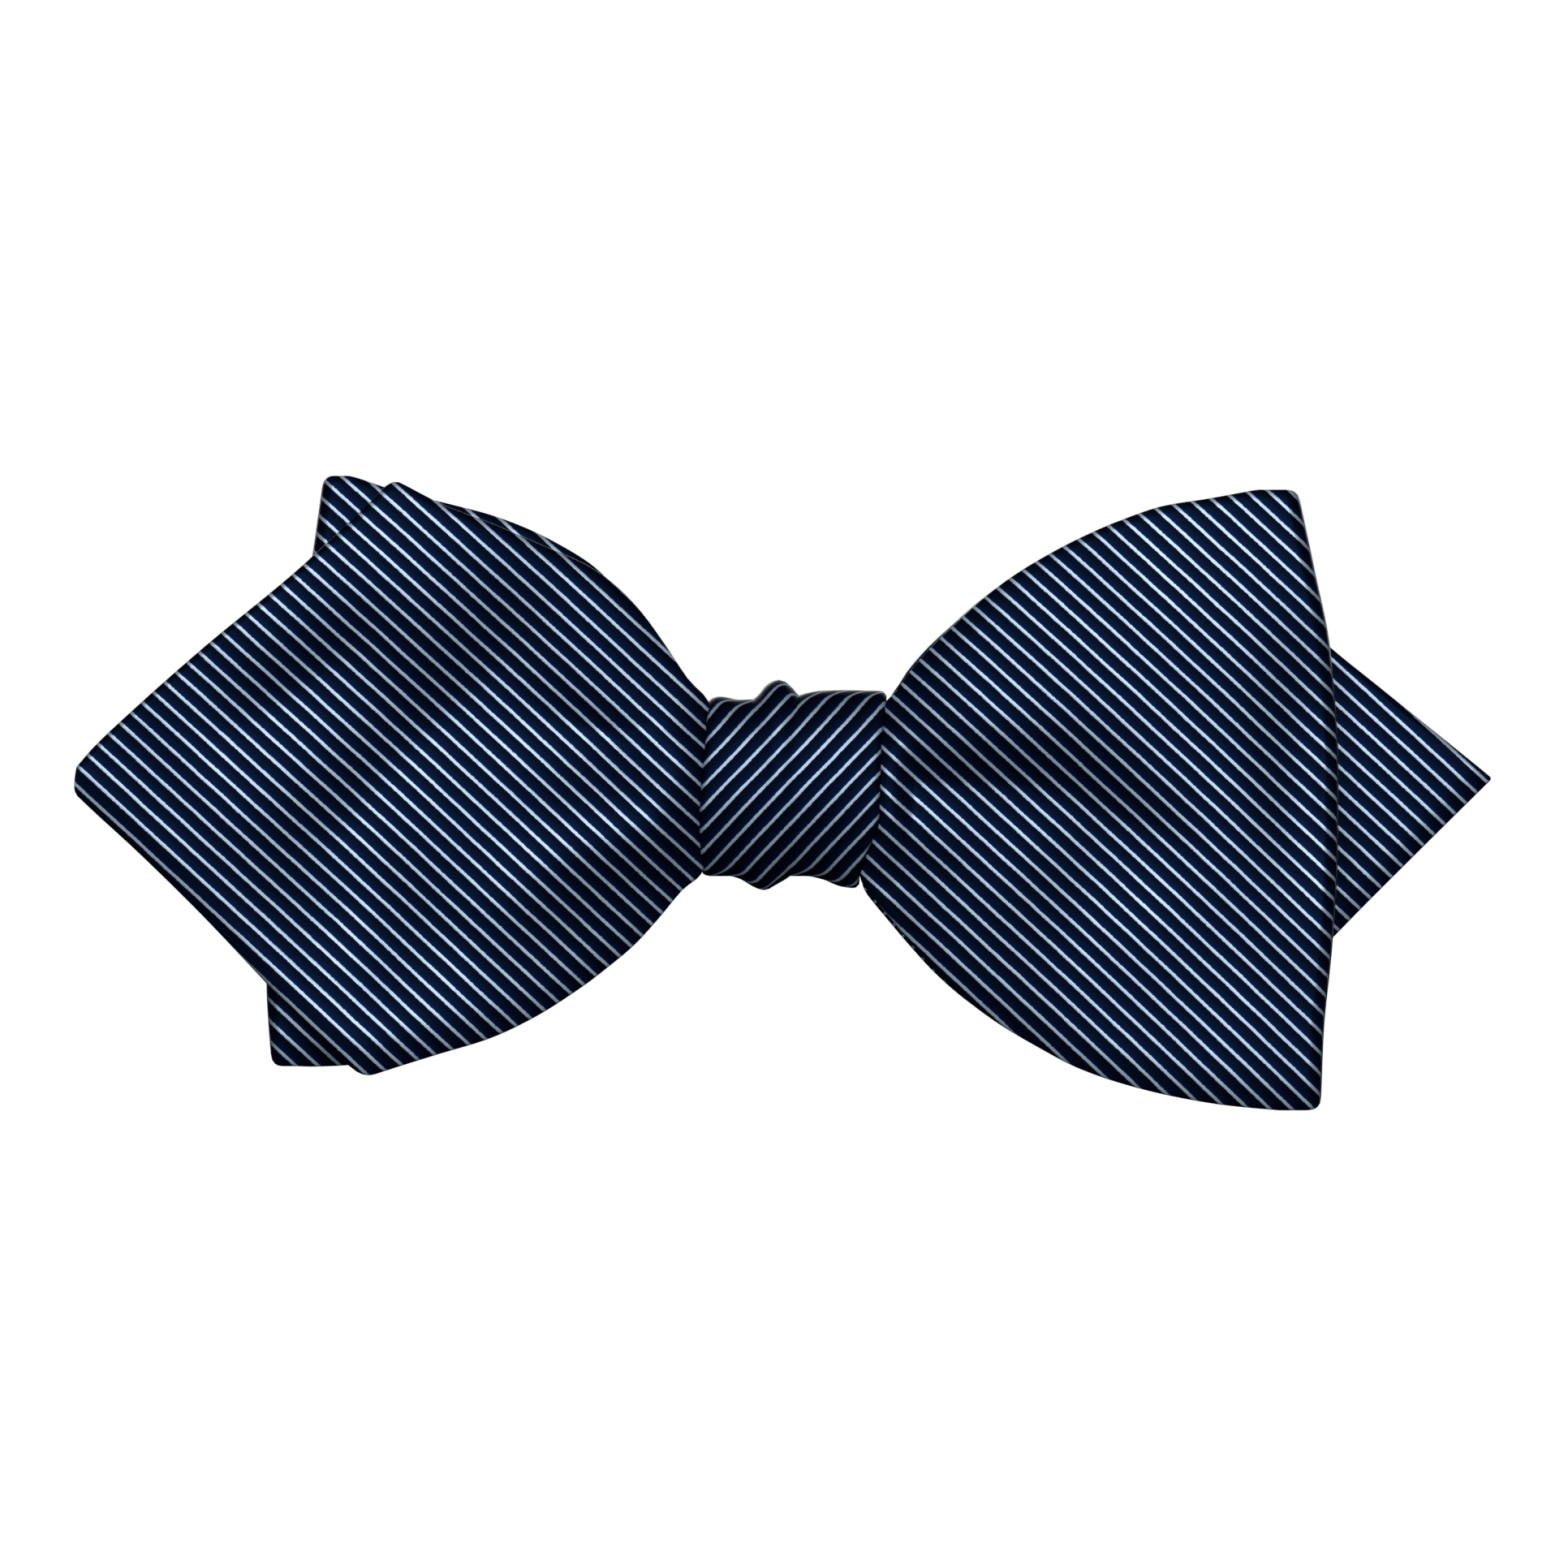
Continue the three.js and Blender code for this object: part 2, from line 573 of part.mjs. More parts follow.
function meshOf(positions, index, material, name) {
  const geometry = new THREE.BufferGeometry();
  geometry.setAttribute("position", new THREE.Float32BufferAttribute(positions, 3));
  geometry.setIndex(signedVolume(positions, index) < 0 ? index.toReversed() : index);
  geometry.computeVertexNormals();
  const mesh = new THREE.Mesh(geometry, material);
  mesh.name = name;
  return mesh;
}

function signedVolume(positions, index) {
  const corner = (k) => new THREE.Vector3().fromArray(positions, index[k] * 3);
  let volume = 0;
  for (let k = 0; k < index.length; k += 3) {
    volume += corner(k).dot(corner(k + 1).cross(corner(k + 2))) / 6;
  }
  return volume;
}

// Puts cloth of the given thickness around a grid of middle points.
function clothAround(rows, material, name) {
  const at = (i, j) =>
    rows[THREE.MathUtils.clamp(i, 0, rows.length - 1)][THREE.MathUtils.clamp(j, 0, rows[0].length - 1)];
  const skins = [1, -1].map((side) =>
    rows.map((row, i) =>
      row.map((point, j) => {
        const along = at(i + 1, j).clone().sub(at(i - 1, j));
        const across = at(i, j + 1).clone().sub(at(i, j - 1));
        const share = (2 * j) / (row.length - 1) - 1;
        const half = (clothThickness / 2) * (1 - edgeThinning * Math.abs(share) ** 10);
        return point.clone().addScaledVector(along.cross(across).normalize(), side * half);
      }),
    ),
  );
  return solidBetween(skins[0], skins[1], material, name);
}

// The knot: a band of cloth wrapped once round the middles of both bows and the neckband.
function wrapPoint(across, turn, offset) {
  const height = Math.sin(turn);
  const front = Math.cos(turn) > 0;
  const roundness = front ? knotFrontRoundness : knotRearRoundness;
  const squareness = 2 / roundness;
  const outline = knotHalfHeight * read(knotOutline, "across", height > 0 ? "top" : "bottom", across);
  const z = Math.sign(height) * Math.abs(height) ** squareness * (outline - wrapThickness + offset);
  const rolled = front ? knotSideRounding * Math.abs(across) ** 4 * (offset / wrapThickness) : 0;
  const depth = cavityHalfDepth + offset - rolled;
  const y = cavityMiddle - Math.sign(Math.cos(turn)) * Math.abs(Math.cos(turn)) ** squareness * depth;
  const level = THREE.MathUtils.clamp(z / knotHalfHeight, -1, 1);
  const left = read(knotRims, "height", "left", level) * knotHalfWidth;
  const right = read(knotRims, "height", "right", level) * knotHalfWidth;
  return new THREE.Vector3(lerp(left, right, (across + 1) / 2), y, z);
}

function knotSkin(offset) {
  const rows = [];
  for (let i = 0; i < knotSteps; i += 1) {
    const across = (2 * i) / (knotSteps - 1) - 1;
    const turns = Array.from({ length: knotSides }, (_, j) => (j / knotSides) * 2 * Math.PI);
    rows.push(turns.map((turn) => wrapPoint(across, turn, offset)));
  }
  return rows;
}

// The neckband: an upright ribbon on an oval, narrower where the knot grips it.
function neckbandSkin(offset) {
  const step = (2 * Math.PI) / neckbandSides;
  const edge = (side) =>
    Array.from({ length: neckbandSides }, (_, j) => {
      const here = ovalPoint(j * step, neckHalfWidth, neckHalfDepth);
      const ahead = ovalPoint((j + 0.5) * step, neckHalfWidth, neckHalfDepth);
      const behind = ovalPoint((j - 0.5) * step, neckHalfWidth, neckHalfDepth);
      const normal = new THREE.Vector2(ahead.y - behind.y, behind.x - ahead.x).normalize();
      const away = here.y < 0 ? Math.abs(here.x) / knotHalfWidth : Infinity;
      const gripped = neckbandGripHeight * (side > 0 ? openingRise : openingFall);
      const height = lerp(gripped, neckbandHeight / 2, smoothstep((away - gripEnd) / gripRelease));
      return new THREE.Vector3(here.x + normal.x * offset, here.y + normal.y * offset, side * height);
    });
  return [edge(-1), edge(1)];
}

// Navy silk with fine pale stripes, as one even colour here.
function silk(colour) {
  return new THREE.MeshStandardMaterial({ color: colour, roughness: 0.55, metalness: 0 });
}

const frontBow = {
  loopSide: 1,
  leafIsFront: true,
  fullness: frontFullness,
  loop: {
    reach: frontLoopReach,
    rise: frontLoopRise,
    fall: frontLoopFall,
    foldRadius: frontFoldRadius,
    swell: frontLoopSwell,
    foldLine: frontFoldLine,
    folds: frontLoopFolds,
    front: { depth: frontLayer, grip: frontGripHeight, depths: frontLoopFrontDepth, tuck: 0 },
    rear: { depth: middleLayer, grip: innerGripHeight, depths: frontLoopRearDepth, tuck: 0.012 },
  },
  leaf: {
    reach: frontPointReach,
    rise: frontPointRise,
    fall: frontPointFall,
    diamond: frontDiamond,
    cornerOut: 0.51,
    depths: frontLeafDepth,
    folds: frontLeafFolds,
    depth: frontLayer,
    grip: frontGripHeight,
  },
};

const rearBow = {
  loopSide: -1,
  leafIsFront: false,
  fullness: rearFullness,
  loop: {
    reach: rearLoopReach,
    rise: rearLoopRise,
    fall: rearLoopFall,
    foldRadius: rearFoldRadius,
    swell: rearLoopSwell,
    foldLine: rearFoldLine,
    folds: [],
    front: { depth: middleLayer, grip: innerGripHeight, depths: rearLoopFrontDepth, tuck: 0 },
    rear: { depth: rearLayer, grip: innerGripHeight, depths: rearLoopRearDepth, tuck: 0.012 },
  },
  leaf: {
    reach: rearPointReach,
    rise: rearPointRise,
    fall: rearPointFall,
    diamond: rearDiamond,
    cornerOut: 0.51,
    depths: rearLeafDepth,
    folds: [],
    depth: rearLayer,
    grip: innerGripHeight,
  },
};

const bowTie = new THREE.Group();
bowTie.add(
  clothAround(bowStrip(frontBow), silk(0x1b2540), "front_bow"),
  clothAround(bowStrip(rearBow), silk(0x182138), "rear_bow"),
  ringBetween(knotSkin(wrapThickness), knotSkin(0), silk(0x161e33), "knot"),
  ringBetween(
    neckbandSkin(neckbandThickness / 2),
    neckbandSkin(-neckbandThickness / 2),
    silk(0x161e33),
    "neckband",
  ),
);

export default bowTie;
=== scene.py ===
"""A self-tied silk bow tie with diamond-pointed ends, tied and closed round an empty neck, in metres.

Order of making: the camera and the lights, the front bow, the rear bow behind it, the knot that wraps their
middles, and the neckband that runs through the knot.
"""

import bmesh
import bpy
import math
from collections import namedtuple
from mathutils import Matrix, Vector


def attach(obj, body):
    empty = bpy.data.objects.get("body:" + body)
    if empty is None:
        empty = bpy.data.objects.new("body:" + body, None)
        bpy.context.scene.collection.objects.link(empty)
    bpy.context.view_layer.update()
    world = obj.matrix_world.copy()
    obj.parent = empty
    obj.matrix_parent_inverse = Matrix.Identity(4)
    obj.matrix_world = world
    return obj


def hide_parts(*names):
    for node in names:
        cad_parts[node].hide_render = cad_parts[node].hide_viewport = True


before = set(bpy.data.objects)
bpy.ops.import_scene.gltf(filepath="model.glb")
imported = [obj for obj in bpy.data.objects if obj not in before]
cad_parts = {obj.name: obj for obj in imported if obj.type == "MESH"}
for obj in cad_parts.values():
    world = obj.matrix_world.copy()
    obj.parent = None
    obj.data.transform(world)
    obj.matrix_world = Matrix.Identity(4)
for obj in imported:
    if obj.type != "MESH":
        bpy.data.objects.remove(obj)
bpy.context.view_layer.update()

# Camera and light: the photographer stands a metre in front of the tie and level with its knot, so the
# neckband hides behind the bow. One soft box hangs behind and above the camera, and a wider one lights the
# tie from behind, over a pale floor.
mm = 0.001
bow_front = -78 * mm
camera_distance = 1.0
picture_width = 1932
pixels_to_the_mm = 13.385
frame_width = picture_width / pixels_to_the_mm * mm
film_width = 36
camera_data = bpy.data.cameras.new("camera")
camera_data.sensor_width = film_width
camera_data.lens = film_width * camera_distance / frame_width
camera_data.clip_start = 0.05
camera_data.clip_end = 100
camera = bpy.data.objects.new("camera", camera_data)
camera.location = (-0.6 * mm, bow_front - camera_distance, 0.15 * mm)
camera.rotation_euler = (math.radians(90), 0, 0)
bpy.context.collection.objects.link(camera)
bpy.context.scene.camera = camera
bpy.context.scene.view_settings.view_transform = "Standard"


def hang_soft_box(name, distance, azimuth, elevation, width, height, power):
    """A rectangular lamp that faces the bow from the given side and height, in degrees."""
    turn, rise = math.radians(azimuth), math.radians(elevation)
    lamp = bpy.data.lights.new(name, "AREA")
    lamp.shape = "RECTANGLE"
    lamp.size = width
    lamp.size_y = height
    lamp.energy = power
    place = bpy.data.objects.new(name, lamp)
    aim = Vector((0, bow_front, 0))
    way = Vector((math.sin(turn) * math.cos(rise), -math.cos(turn) * math.cos(rise), math.sin(rise)))
    place.location = aim + way * distance
    place.rotation_euler = (-way).to_track_quat("-Z", "Y").to_euler()
    place.visible_camera = False
    bpy.context.collection.objects.link(place)


hang_soft_box("soft_box_front", distance=1.3, azimuth=0, elevation=14, width=0.8, height=0.5, power=12.4)
hang_soft_box("soft_box_back", distance=1.6, azimuth=180, elevation=14, width=1.2, height=0.8, power=22)

floor_radius = 8
floor_level = -1.2
floor_mesh = bpy.data.meshes.new("floor")
floor_bm = bmesh.new()
bmesh.ops.create_circle(floor_bm, cap_ends=True, segments=96, radius=floor_radius)
bmesh.ops.translate(floor_bm, verts=floor_bm.verts, vec=(0, 0, floor_level))
floor_bm.to_mesh(floor_mesh)
floor_bm.free()
floor = bpy.data.objects.new("floor", floor_mesh)
bpy.context.collection.objects.link(floor)
floor_paint = bpy.data.materials.new("floor_paint")
floor_paint.use_nodes = True
floor_shader = floor_paint.node_tree.nodes["Principled BSDF"]
floor_shader.inputs["Base Color"].default_value = (0.82, 0.82, 0.82, 1)
floor_shader.inputs["Roughness"].default_value = 0.9
floor_shader.inputs["Emission Color"].default_value = (1, 1, 1, 1)
floor_shader.inputs["Emission Strength"].default_value = 0.55
floor_mesh.materials.append(floor_paint)
floor.visible_diffuse = False
floor.visible_glossy = False

studio = bpy.data.worlds.new("studio")
studio.use_nodes = True
bpy.context.scene.world = studio
studio_nodes, studio_links = studio.node_tree.nodes, studio.node_tree.links
studio_nodes.clear()
white_wall = studio_nodes.new("ShaderNodeBackground")
white_wall.inputs["Color"].default_value = (1, 1, 1, 1)
white_wall.inputs["Strength"].default_value = 1.0
room_light = studio_nodes.new("ShaderNodeBackground")
room_light.inputs["Color"].default_value = (0.9, 0.95, 1, 1)
room_light.inputs["Strength"].default_value = 0.07
seen_directly = studio_nodes.new("ShaderNodeLightPath")
wall_or_light = studio_nodes.new("ShaderNodeMixShader")
studio_output = studio_nodes.new("ShaderNodeOutputWorld")
studio_links.new(seen_directly.outputs["Is Camera Ray"], wall_or_light.inputs[0])
studio_links.new(room_light.outputs[0], wall_or_light.inputs[1])
studio_links.new(white_wall.outputs[0], wall_or_light.inputs[2])
studio_links.new(wall_or_light.outputs[0], studio_output.inputs["Surface"])

# Front bow: one strip of striped silk twill over interlining, sewn as a tube and turned. It starts in the
# knot, folds back on itself as the right-hand loop, passes through the knot again and ends in the pointed
# leaf on the left. Only the knot holds it.
cloth_thickness = 1.5 * mm
edge_fullness = 0.12
edge_rounding = 0.9 * mm
piece_gap = 0.45 * mm
rim_clearance = 0.08 * mm
neckband_thickness = 1.6 * mm
neck_half_depth = 66.68 * mm
knot_half_height = 8.4 * mm
knot_half_width = 8.2 * mm
wrap_thickness = 1.2 * mm
waist_curl = 2.6 * mm
curl_limit = 1.3
curl_sharpness = 2.4
tail_length = 4 * mm
tail_share = 0.4
front_grip = 0.81
inner_grip = 0.9

# The knot's height above and below its middle, as shares of its half height, from its left rim to its right.
knot_outline = [
    (-1, 0.93, 0.98),
    (-0.88, 0.985, 1.0),
    (-0.65, 0.95, 1.0),
    (-0.48, 0.955, 1.04),
    (-0.38, 1.03, 1.09),
    (-0.3, 1.13, 1.13),
    (-0.21, 1.17, 1.155),
    (-0.13, 1.12, 1.12),
    (-0.05, 1.03, 1.08),
    (0.01, 0.99, 1.05),
    (0.1, 1.02, 1.0),
    (0.3, 1.05, 1.0),
    (0.55, 1.055, 1.04),
    (0.8, 1.05, 1.12),
    (1, 1.045, 1.14),
]
# Where the knot's left and right rims lie, as shares of its half width, from its bottom to its top.
knot_rims = [
    (-1, -1.0, 0.78),
    (-0.7, -1.02, 0.87),
    (-0.4, -1.02, 0.99),
    (0, -1.0, 1.005),
    (0.5, -0.95, 1.02),
    (0.85, -0.93, 1.07),
    (1, -0.925, 1.09),
]
# How a wing widens from the knot: a place along it, then its upper and its lower edge. A leaf's two edges
# end on the straight lines of its diamond.
leaf_swell = [
    (0, 0, 0),
    (0.004, 0.105, 0.11),
    (0.03, 0.19, 0.18),
    (0.07, 0.342, 0.31),
    (0.11, 0.475, 0.425),
    (0.15, 0.576, 0.515),
    (0.19, 0.646, 0.597),
    (0.27, 0.735, 0.733),
    (0.34, 0.81, 0.82),
    (0.42, 0.888, 0.885),
    (0.5, 0.99, 0.952),
    (0.62, 1.12, 1.06),
    (1, 1.4, 1.4),
]
front_diamond = [
    (0, 3, 3),
    (0.45, 1.12, 1.19),
    (0.62, 0.752, 0.838),
    (0.81, 0.426, 0.416),
    (0.905, 0.255, 0.22),
    (0.974, 0.123, 0.087),
    (1, 0.062, 0.035),
]
front_loop_swell = [
    (0, 0, 0),
    (0.005, 0.09, 0.12),
    (0.03, 0.16, 0.188),
    (0.06, 0.235, 0.248),
    (0.12, 0.342, 0.365),
    (0.18, 0.432, 0.474),
    (0.25, 0.533, 0.578),
    (0.33, 0.63, 0.672),
    (0.42, 0.717, 0.757),
    (0.52, 0.799, 0.84),
    (0.63, 0.873, 0.901),
    (0.75, 0.935, 0.948),
    (0.87, 0.965, 0.98),
    (1, 1.002, 1),
]
# How far out the fold reaches, from the bottom of the loop to its top.
front_fold_line = [
    (-1, 0.968),
    (-0.76, 0.973),
    (-0.47, 0.989),
    (-0.15, 1.0),
    (0.1, 1.001),
    (0.48, 0.986),
    (0.74, 0.957),
    (1, 0.926),
]
# How far each layer swells forward along its length, and how much it still curls back above and below.
front_leaf_depth = [
    (0, 0, 1),
    (0.02, 0.25, 1),
    (0.1, 0.42, 1),
    (0.28, 0.7, 1.1),
    (0.5, 0.9, 1.2),
    (0.75, 0.88, 0.9),
    (1, 0.72, 0.2),
]
front_loop_front_depth = [
    (0, 0, 1),
    (0.02, 0.24, 1),
    (0.12, 0.42, 1),
    (0.35, 0.68, 1.1),
    (0.62, 0.9, 1.2),
    (0.85, 0.93, 1),
    (1, 0.86, 0.7),
]
front_loop_rear_depth = [
    (0, 0, 1),
    (0.35, -0.1, 0.7),
    (0.7, -0.3, 0.5),
]
# Soft folds: out, rise, out at the end, rise at the end, depth, width above, width below, held by the knot.
fold_depth = 2.2 * mm
fold_width = 5.5 * mm
fold_overrun = 0.15
fold_fade = 0.6
held_fold_width = 0.6
front_leaf_folds = [
    (0.295, 0.64, 0.735, -0.5, 1.6, 1.2, 2.4, 0),
    (0.54, 0.54, 0.8, 0.09, 0.7, 0.75, 1.4, 0),
    (0.13, 0, 0.38, 0.265, 0.5, 0.55, 2, 1),
    (0.13, -0.1, 0.56, -0.39, -1.0, 2.2, 1.3, 1),
    (0.66, -0.3, 0.58, -0.8, 0.5, 1.1, 1.7, 0),
]
front_loop_folds = [
    (0.14, 0.02, 0.62, -0.03, 1.1, 0.8, 1.8, 1),
    (0.44, 0, 0.76, -0.22, 0.45, 0.6, 1.2, 0),
    (0.94, 0.5, 0.94, -0.38, 0.65, 0.8, 0.8, 0),
    (0.14, -0.35, 0.5, -0.42, 0.4, 1.5, 1.8, 1),
]
# A wing's lower edge is rolled back a little, and its upper edge near the knot too. Its upper half is bowed.
edge_roll = 0.6 * mm
edge_roll_width = 1.6 * mm
upper_roll_end = 0.15
upper_roll_fade = 0.4
upper_bow = 1.0 * mm
lower_bow = 0.3 * mm

# Beside the knot the cloth is held smooth: how far out its folds, and its fine relief, have their full depth.
folds_free = 0.08
relief_free = 0.1
pleats_end = 0.34
tuck_free = 0.33

# The stripes aren't quite straight along the tie: how far they are shifted at each place.
stripe_drift = [
    (-66 * mm, 0.37 * mm),
    (-50 * mm, 0.16 * mm),
    (-35 * mm, 0),
    (-23 * mm, -0.06 * mm),
    (-11 * mm, 0),
    (13 * mm, -0.14 * mm),
    (28 * mm, -0.29 * mm),
    (39 * mm, -0.22 * mm),
    (49 * mm, -0.06 * mm),
]
stripe_bow = 0.2 * mm / (22 * mm) ** 2


def lerp(a, b, t):
    """The value at a share of the way from one to another."""
    return a + (b - a) * t


def ease(t):
    """A smooth rise from 0 to 1, level at both ends."""
    t = min(max(t, 0), 1)
    return t * t * (3 - 2 * t)


def along_curve(table, column, at):
    """The height of a smooth curve through a table's column, at a place along its first column."""
    at = min(max(at, table[0][0]), table[-1][0])
    i = 0
    while i < len(table) - 2 and table[i + 1][0] < at:
        i += 1

    def slope(k):
        return (table[k + 1][column] - table[k][column]) / (table[k + 1][0] - table[k][0])

    def tangent(k):
        before, after = slope(max(k - 1, 0)), slope(min(k, len(table) - 2))
        return 0 if before * after <= 0 else 2 * before * after / (before + after)

    span = table[i + 1][0] - table[i][0]
    t = (at - table[i][0]) / span
    return (
        table[i][column] * (1 + 2 * t) * (1 - t) ** 2
        + span * tangent(i) * t * (1 - t) ** 2
        + table[i + 1][column] * t * t * (3 - 2 * t)
        + span * tangent(i + 1) * t * t * (t - 1)
    )


def curl(height):
    """How far cloth in the knot curls back, at a share of the height of the knot's opening."""
    return waist_curl * curl_limit * math.tanh(abs(height) ** curl_sharpness / curl_limit)


opening_rise = knot_half_height * knot_outline[0][1] - wrap_thickness
opening_fall = knot_half_height * knot_outline[0][2] - wrap_thickness
rear_layer = -neck_half_depth - neckband_thickness / 2 - piece_gap - curl(inner_grip) - cloth_thickness / 2
middle_layer = rear_layer - cloth_thickness - piece_gap
front_layer = middle_layer - cloth_thickness - piece_gap


def rounded(distance, width):
    """How full cloth is at a distance from its edge, where the edge is rounded over a width."""
    within = min(distance / width, 1)
    return math.sqrt(max(1 - (1 - within) ** 2, 0))


def knot_rim(share, side):
    """Where a wing's cloth springs open beside the knot's rim."""
    return abs(along_curve(knot_rims, 2 if side > 0 else 1, share)) * knot_half_width + rim_clearance


def fold_push(folds, x, z, reach, rise, fall):
    """How far the soft folds push the cloth back, at a place on a wing."""
    push = 0
    for out, lift, out_end, lift_end, depth, above, below, held in folds:
        start = Vector((out * reach, lift * (rise if lift > 0 else fall)))
        end = Vector((out_end * reach, lift_end * (rise if lift_end > 0 else fall)))
        line = end - start
        way = Vector((abs(x), z)) - start
        along = way.dot(line) / line.length_squared
        aside = (way.x * line.y - way.y * line.x) / line.length
        fading = ease((1 + fold_overrun - along) / fold_fade)
        if not held:
            fading *= ease((along + fold_overrun) / fold_fade)
        narrowed = lerp(held_fold_width, 1, ease(along)) if held else 1
        spread = (below if aside > 0 else above) * fold_width * narrowed
        push += depth * fold_depth * fading * math.exp(-((aside / spread) ** 2))
    return push


def edges_rolled(out, z, bottom, top):
    """How far a wing is rolled back by its edges, at a place on it."""
    lower = math.exp(-(((z + bottom) / edge_roll_width) ** 2))
    upper = math.exp(-(((top - z) / edge_roll_width) ** 2))
    upper_fading = 1 - ease((out - upper_roll_end) / upper_roll_fade)
    return edge_roll * (lower + upper * upper_fading) * ease(out / relief_free)


def gathers(out, share, strength):
    """Fine pleats that fan out from the knot and die away over the first third of a wing."""
    fade = ease(out / 0.02) * (1 - ease(out / pleats_end))
    broad = math.sin(share * 9.5 + 0.7)
    middling = 0.6 * math.sin(share * 17 + 2.1 + out * 6)
    fine = 0.4 * math.sin(share * 27)
    return strength * fade * (broad + middling + fine)


def unevenness(x, z):
    """The slight waviness of soft silk over interlining."""
    a, b = x / mm, z / mm
    broad = 0.11 * math.sin(a * 0.21 + b * 0.13 + 1)
    slanting = 0.09 * math.sin(a * 0.13 - b * 0.29 + 4)
    fine = 0.05 * math.sin(a * 0.43 + b * 0.37 + 2)
    return (broad + slanting + fine) * mm


# A stretch of a strip: its length, its point at a share of it, that point's place along the flat cloth, and
# which side of the cloth counts as its face, 1 for the outside of the loop and -1 for the inside.
Stretch = namedtuple("Stretch", "length point_at place_at face")


class Strip:
    """Half of a bow tie: a strip with a pointed leaf on one side of the knot and a loop on the other."""

    def __init__(self, loop_side, leaf_in_front, fullness, loop, leaf, loop_slip=0):
        self.loop_side, self.leaf_in_front, self.fullness = loop_side, leaf_in_front, fullness
        self.loop_slip = loop_slip
        self.loop, self.leaf = loop, leaf

    def fold_at(self, share):
        """How far out the fold's middle line reaches, at a share of the loop's height."""
        return along_curve(self.loop["fold_line"], 1, share) * self.loop["reach"]

    def wing_curl(self, out, z):
        """How far a wing curls back: by the knot as in it, and farther out only by its slight bow."""
        if z > 0:
            opening, most, reach, bow = opening_rise, 0.8, 0.3, upper_bow
        else:
            opening, most, reach, bow = opening_fall, 1.3, 0.5, lower_bow
        at_knot = curl(min(abs(z) / opening, most))
        freed = min(out / reach, 1)
        return lerp(at_knot, bow * (z / self.loop["rise"]) ** 2, 1 - (1 - freed) ** 2)

    def loop_layer(self, out, share, layer):
        """A point of a layer of the loop, before its soft folds, as if the loop lay to the right."""
        loop = self.loop
        rim = knot_rim(share, self.loop_side)
        x = lerp(rim, self.fold_at(share) - loop["fold_nose"], out)
        widened = (x - rim) / (self.fold_at(share) - loop["fold_radius"] - rim)
        low_waist = layer["grip"] * opening_fall
        high_waist = layer["grip"] * opening_rise
        shrink = 1 - layer["tuck"] * ease(out / tuck_free)
        top = lerp(high_waist, loop["rise"], along_curve(loop["swell"], 1, widened)) * shrink
        bottom = lerp(low_waist, loop["fall"], along_curve(loop["swell"], 2, widened)) * shrink
        z = lerp(-bottom, top, (share + 1) / 2)
        swell = along_curve(layer["depths"], 1, out) * self.fullness
        roll = self.wing_curl(out, z) * along_curve(layer["depths"], 2, out)
        rolled = edges_rolled(out, z, bottom, top)
        return Vector((x, layer["depth"] - swell + roll + rolled, z))

    def loop_front(self, out, share):
        """A point of the loop's front layer, with its soft folds."""
        loop = self.loop
        p = self.loop_layer(out, share, loop["front"])
        x = p.x * self.loop_side
        push = fold_push(loop["folds"], p.x, p.z, loop["reach"], loop["rise"], loop["fall"])
        fine = gathers(out, share, loop["gathers"]) + unevenness(x, p.z) * ease(out / relief_free)
        return Vector((x, p.y + push * ease(out / folds_free) + fine, p.z))

    def loop_turn(self, angle, share):
        """A point of the fold, at an angle round it from the front layer to the rear one."""
        start = self.loop_front(1, share)
        radius = self.loop["fold_radius"]
        x = self.fold_at(share) - self.loop["fold_nose"] * (1 - math.sin(angle))
        shrink = lerp(1, 1 - self.loop["rear"]["tuck"], ease(angle / math.pi))
        return Vector((x * self.loop_side, start.y + radius * (1 - math.cos(angle)), start.z * shrink))

    def loop_rear(self, out, share):
        """A point of the loop's rear layer, which runs smoothly into the end of the fold."""
        own = self.loop_layer(out, share, self.loop["rear"])
        end = self.loop_turn(math.pi, share)
        return Vector((own.x * self.loop_side, lerp(own.y, end.y, ease((out - 0.25) / 0.75)), own.z))

    def waist(self, along, share, layer):
        """A point of the cloth inside the knot, along it from the loop's rim to the leaf's."""
        right = knot_rim(share, self.loop_side) * self.loop_side
        left = -knot_rim(share, -self.loop_side) * self.loop_side
        z = layer["grip"] * lerp(-opening_fall, opening_rise, (share + 1) / 2)
        return Vector((lerp(right, left, along), layer["depth"] + curl(share * layer["grip"]), z))

    def leaf_edge(self, out, column):
        """How high the leaf's upper edge lies, for column 1, or how low its lower one, for column 2."""
        leaf = self.leaf
        corner = leaf["rise"] if column == 1 else leaf["fall"]
        waist = leaf["grip"] * (opening_rise if column == 1 else opening_fall)
        swell = lerp(waist, corner, along_curve(leaf_swell, column, out))
        straight = corner * along_curve(leaf["diamond"], column, out)
        softness = 1.3 * mm
        near = max(softness - abs(swell - straight), 0) / softness
        return min(swell, straight) - near * near * softness / 4

    def leaf_point(self, out, share):
        """A point of the leaf, with its soft folds."""
        leaf = self.leaf
        away = lerp(knot_rim(share, -self.loop_side), leaf["reach"], out)
        x = -away * self.loop_side
        bottom, top = self.leaf_edge(out, 2), self.leaf_edge(out, 1)
        z = lerp(-bottom, top, (share + 1) / 2)
        rolled = edges_rolled(out, z, bottom, top)
        swell = along_curve(leaf["depths"], 1, out) * self.fullness
        roll = self.wing_curl(out, z) * along_curve(leaf["depths"], 2, out)
        push = fold_push(leaf["folds"], away, z, leaf["reach"], leaf["rise"], leaf["fall"])
        fine = gathers(out, share, leaf["gathers"]) + unevenness(x, z) * ease(out / relief_free)
        return Vector((x, leaf["depth"] - swell + roll + rolled + push * ease(out / folds_free) + fine, z))

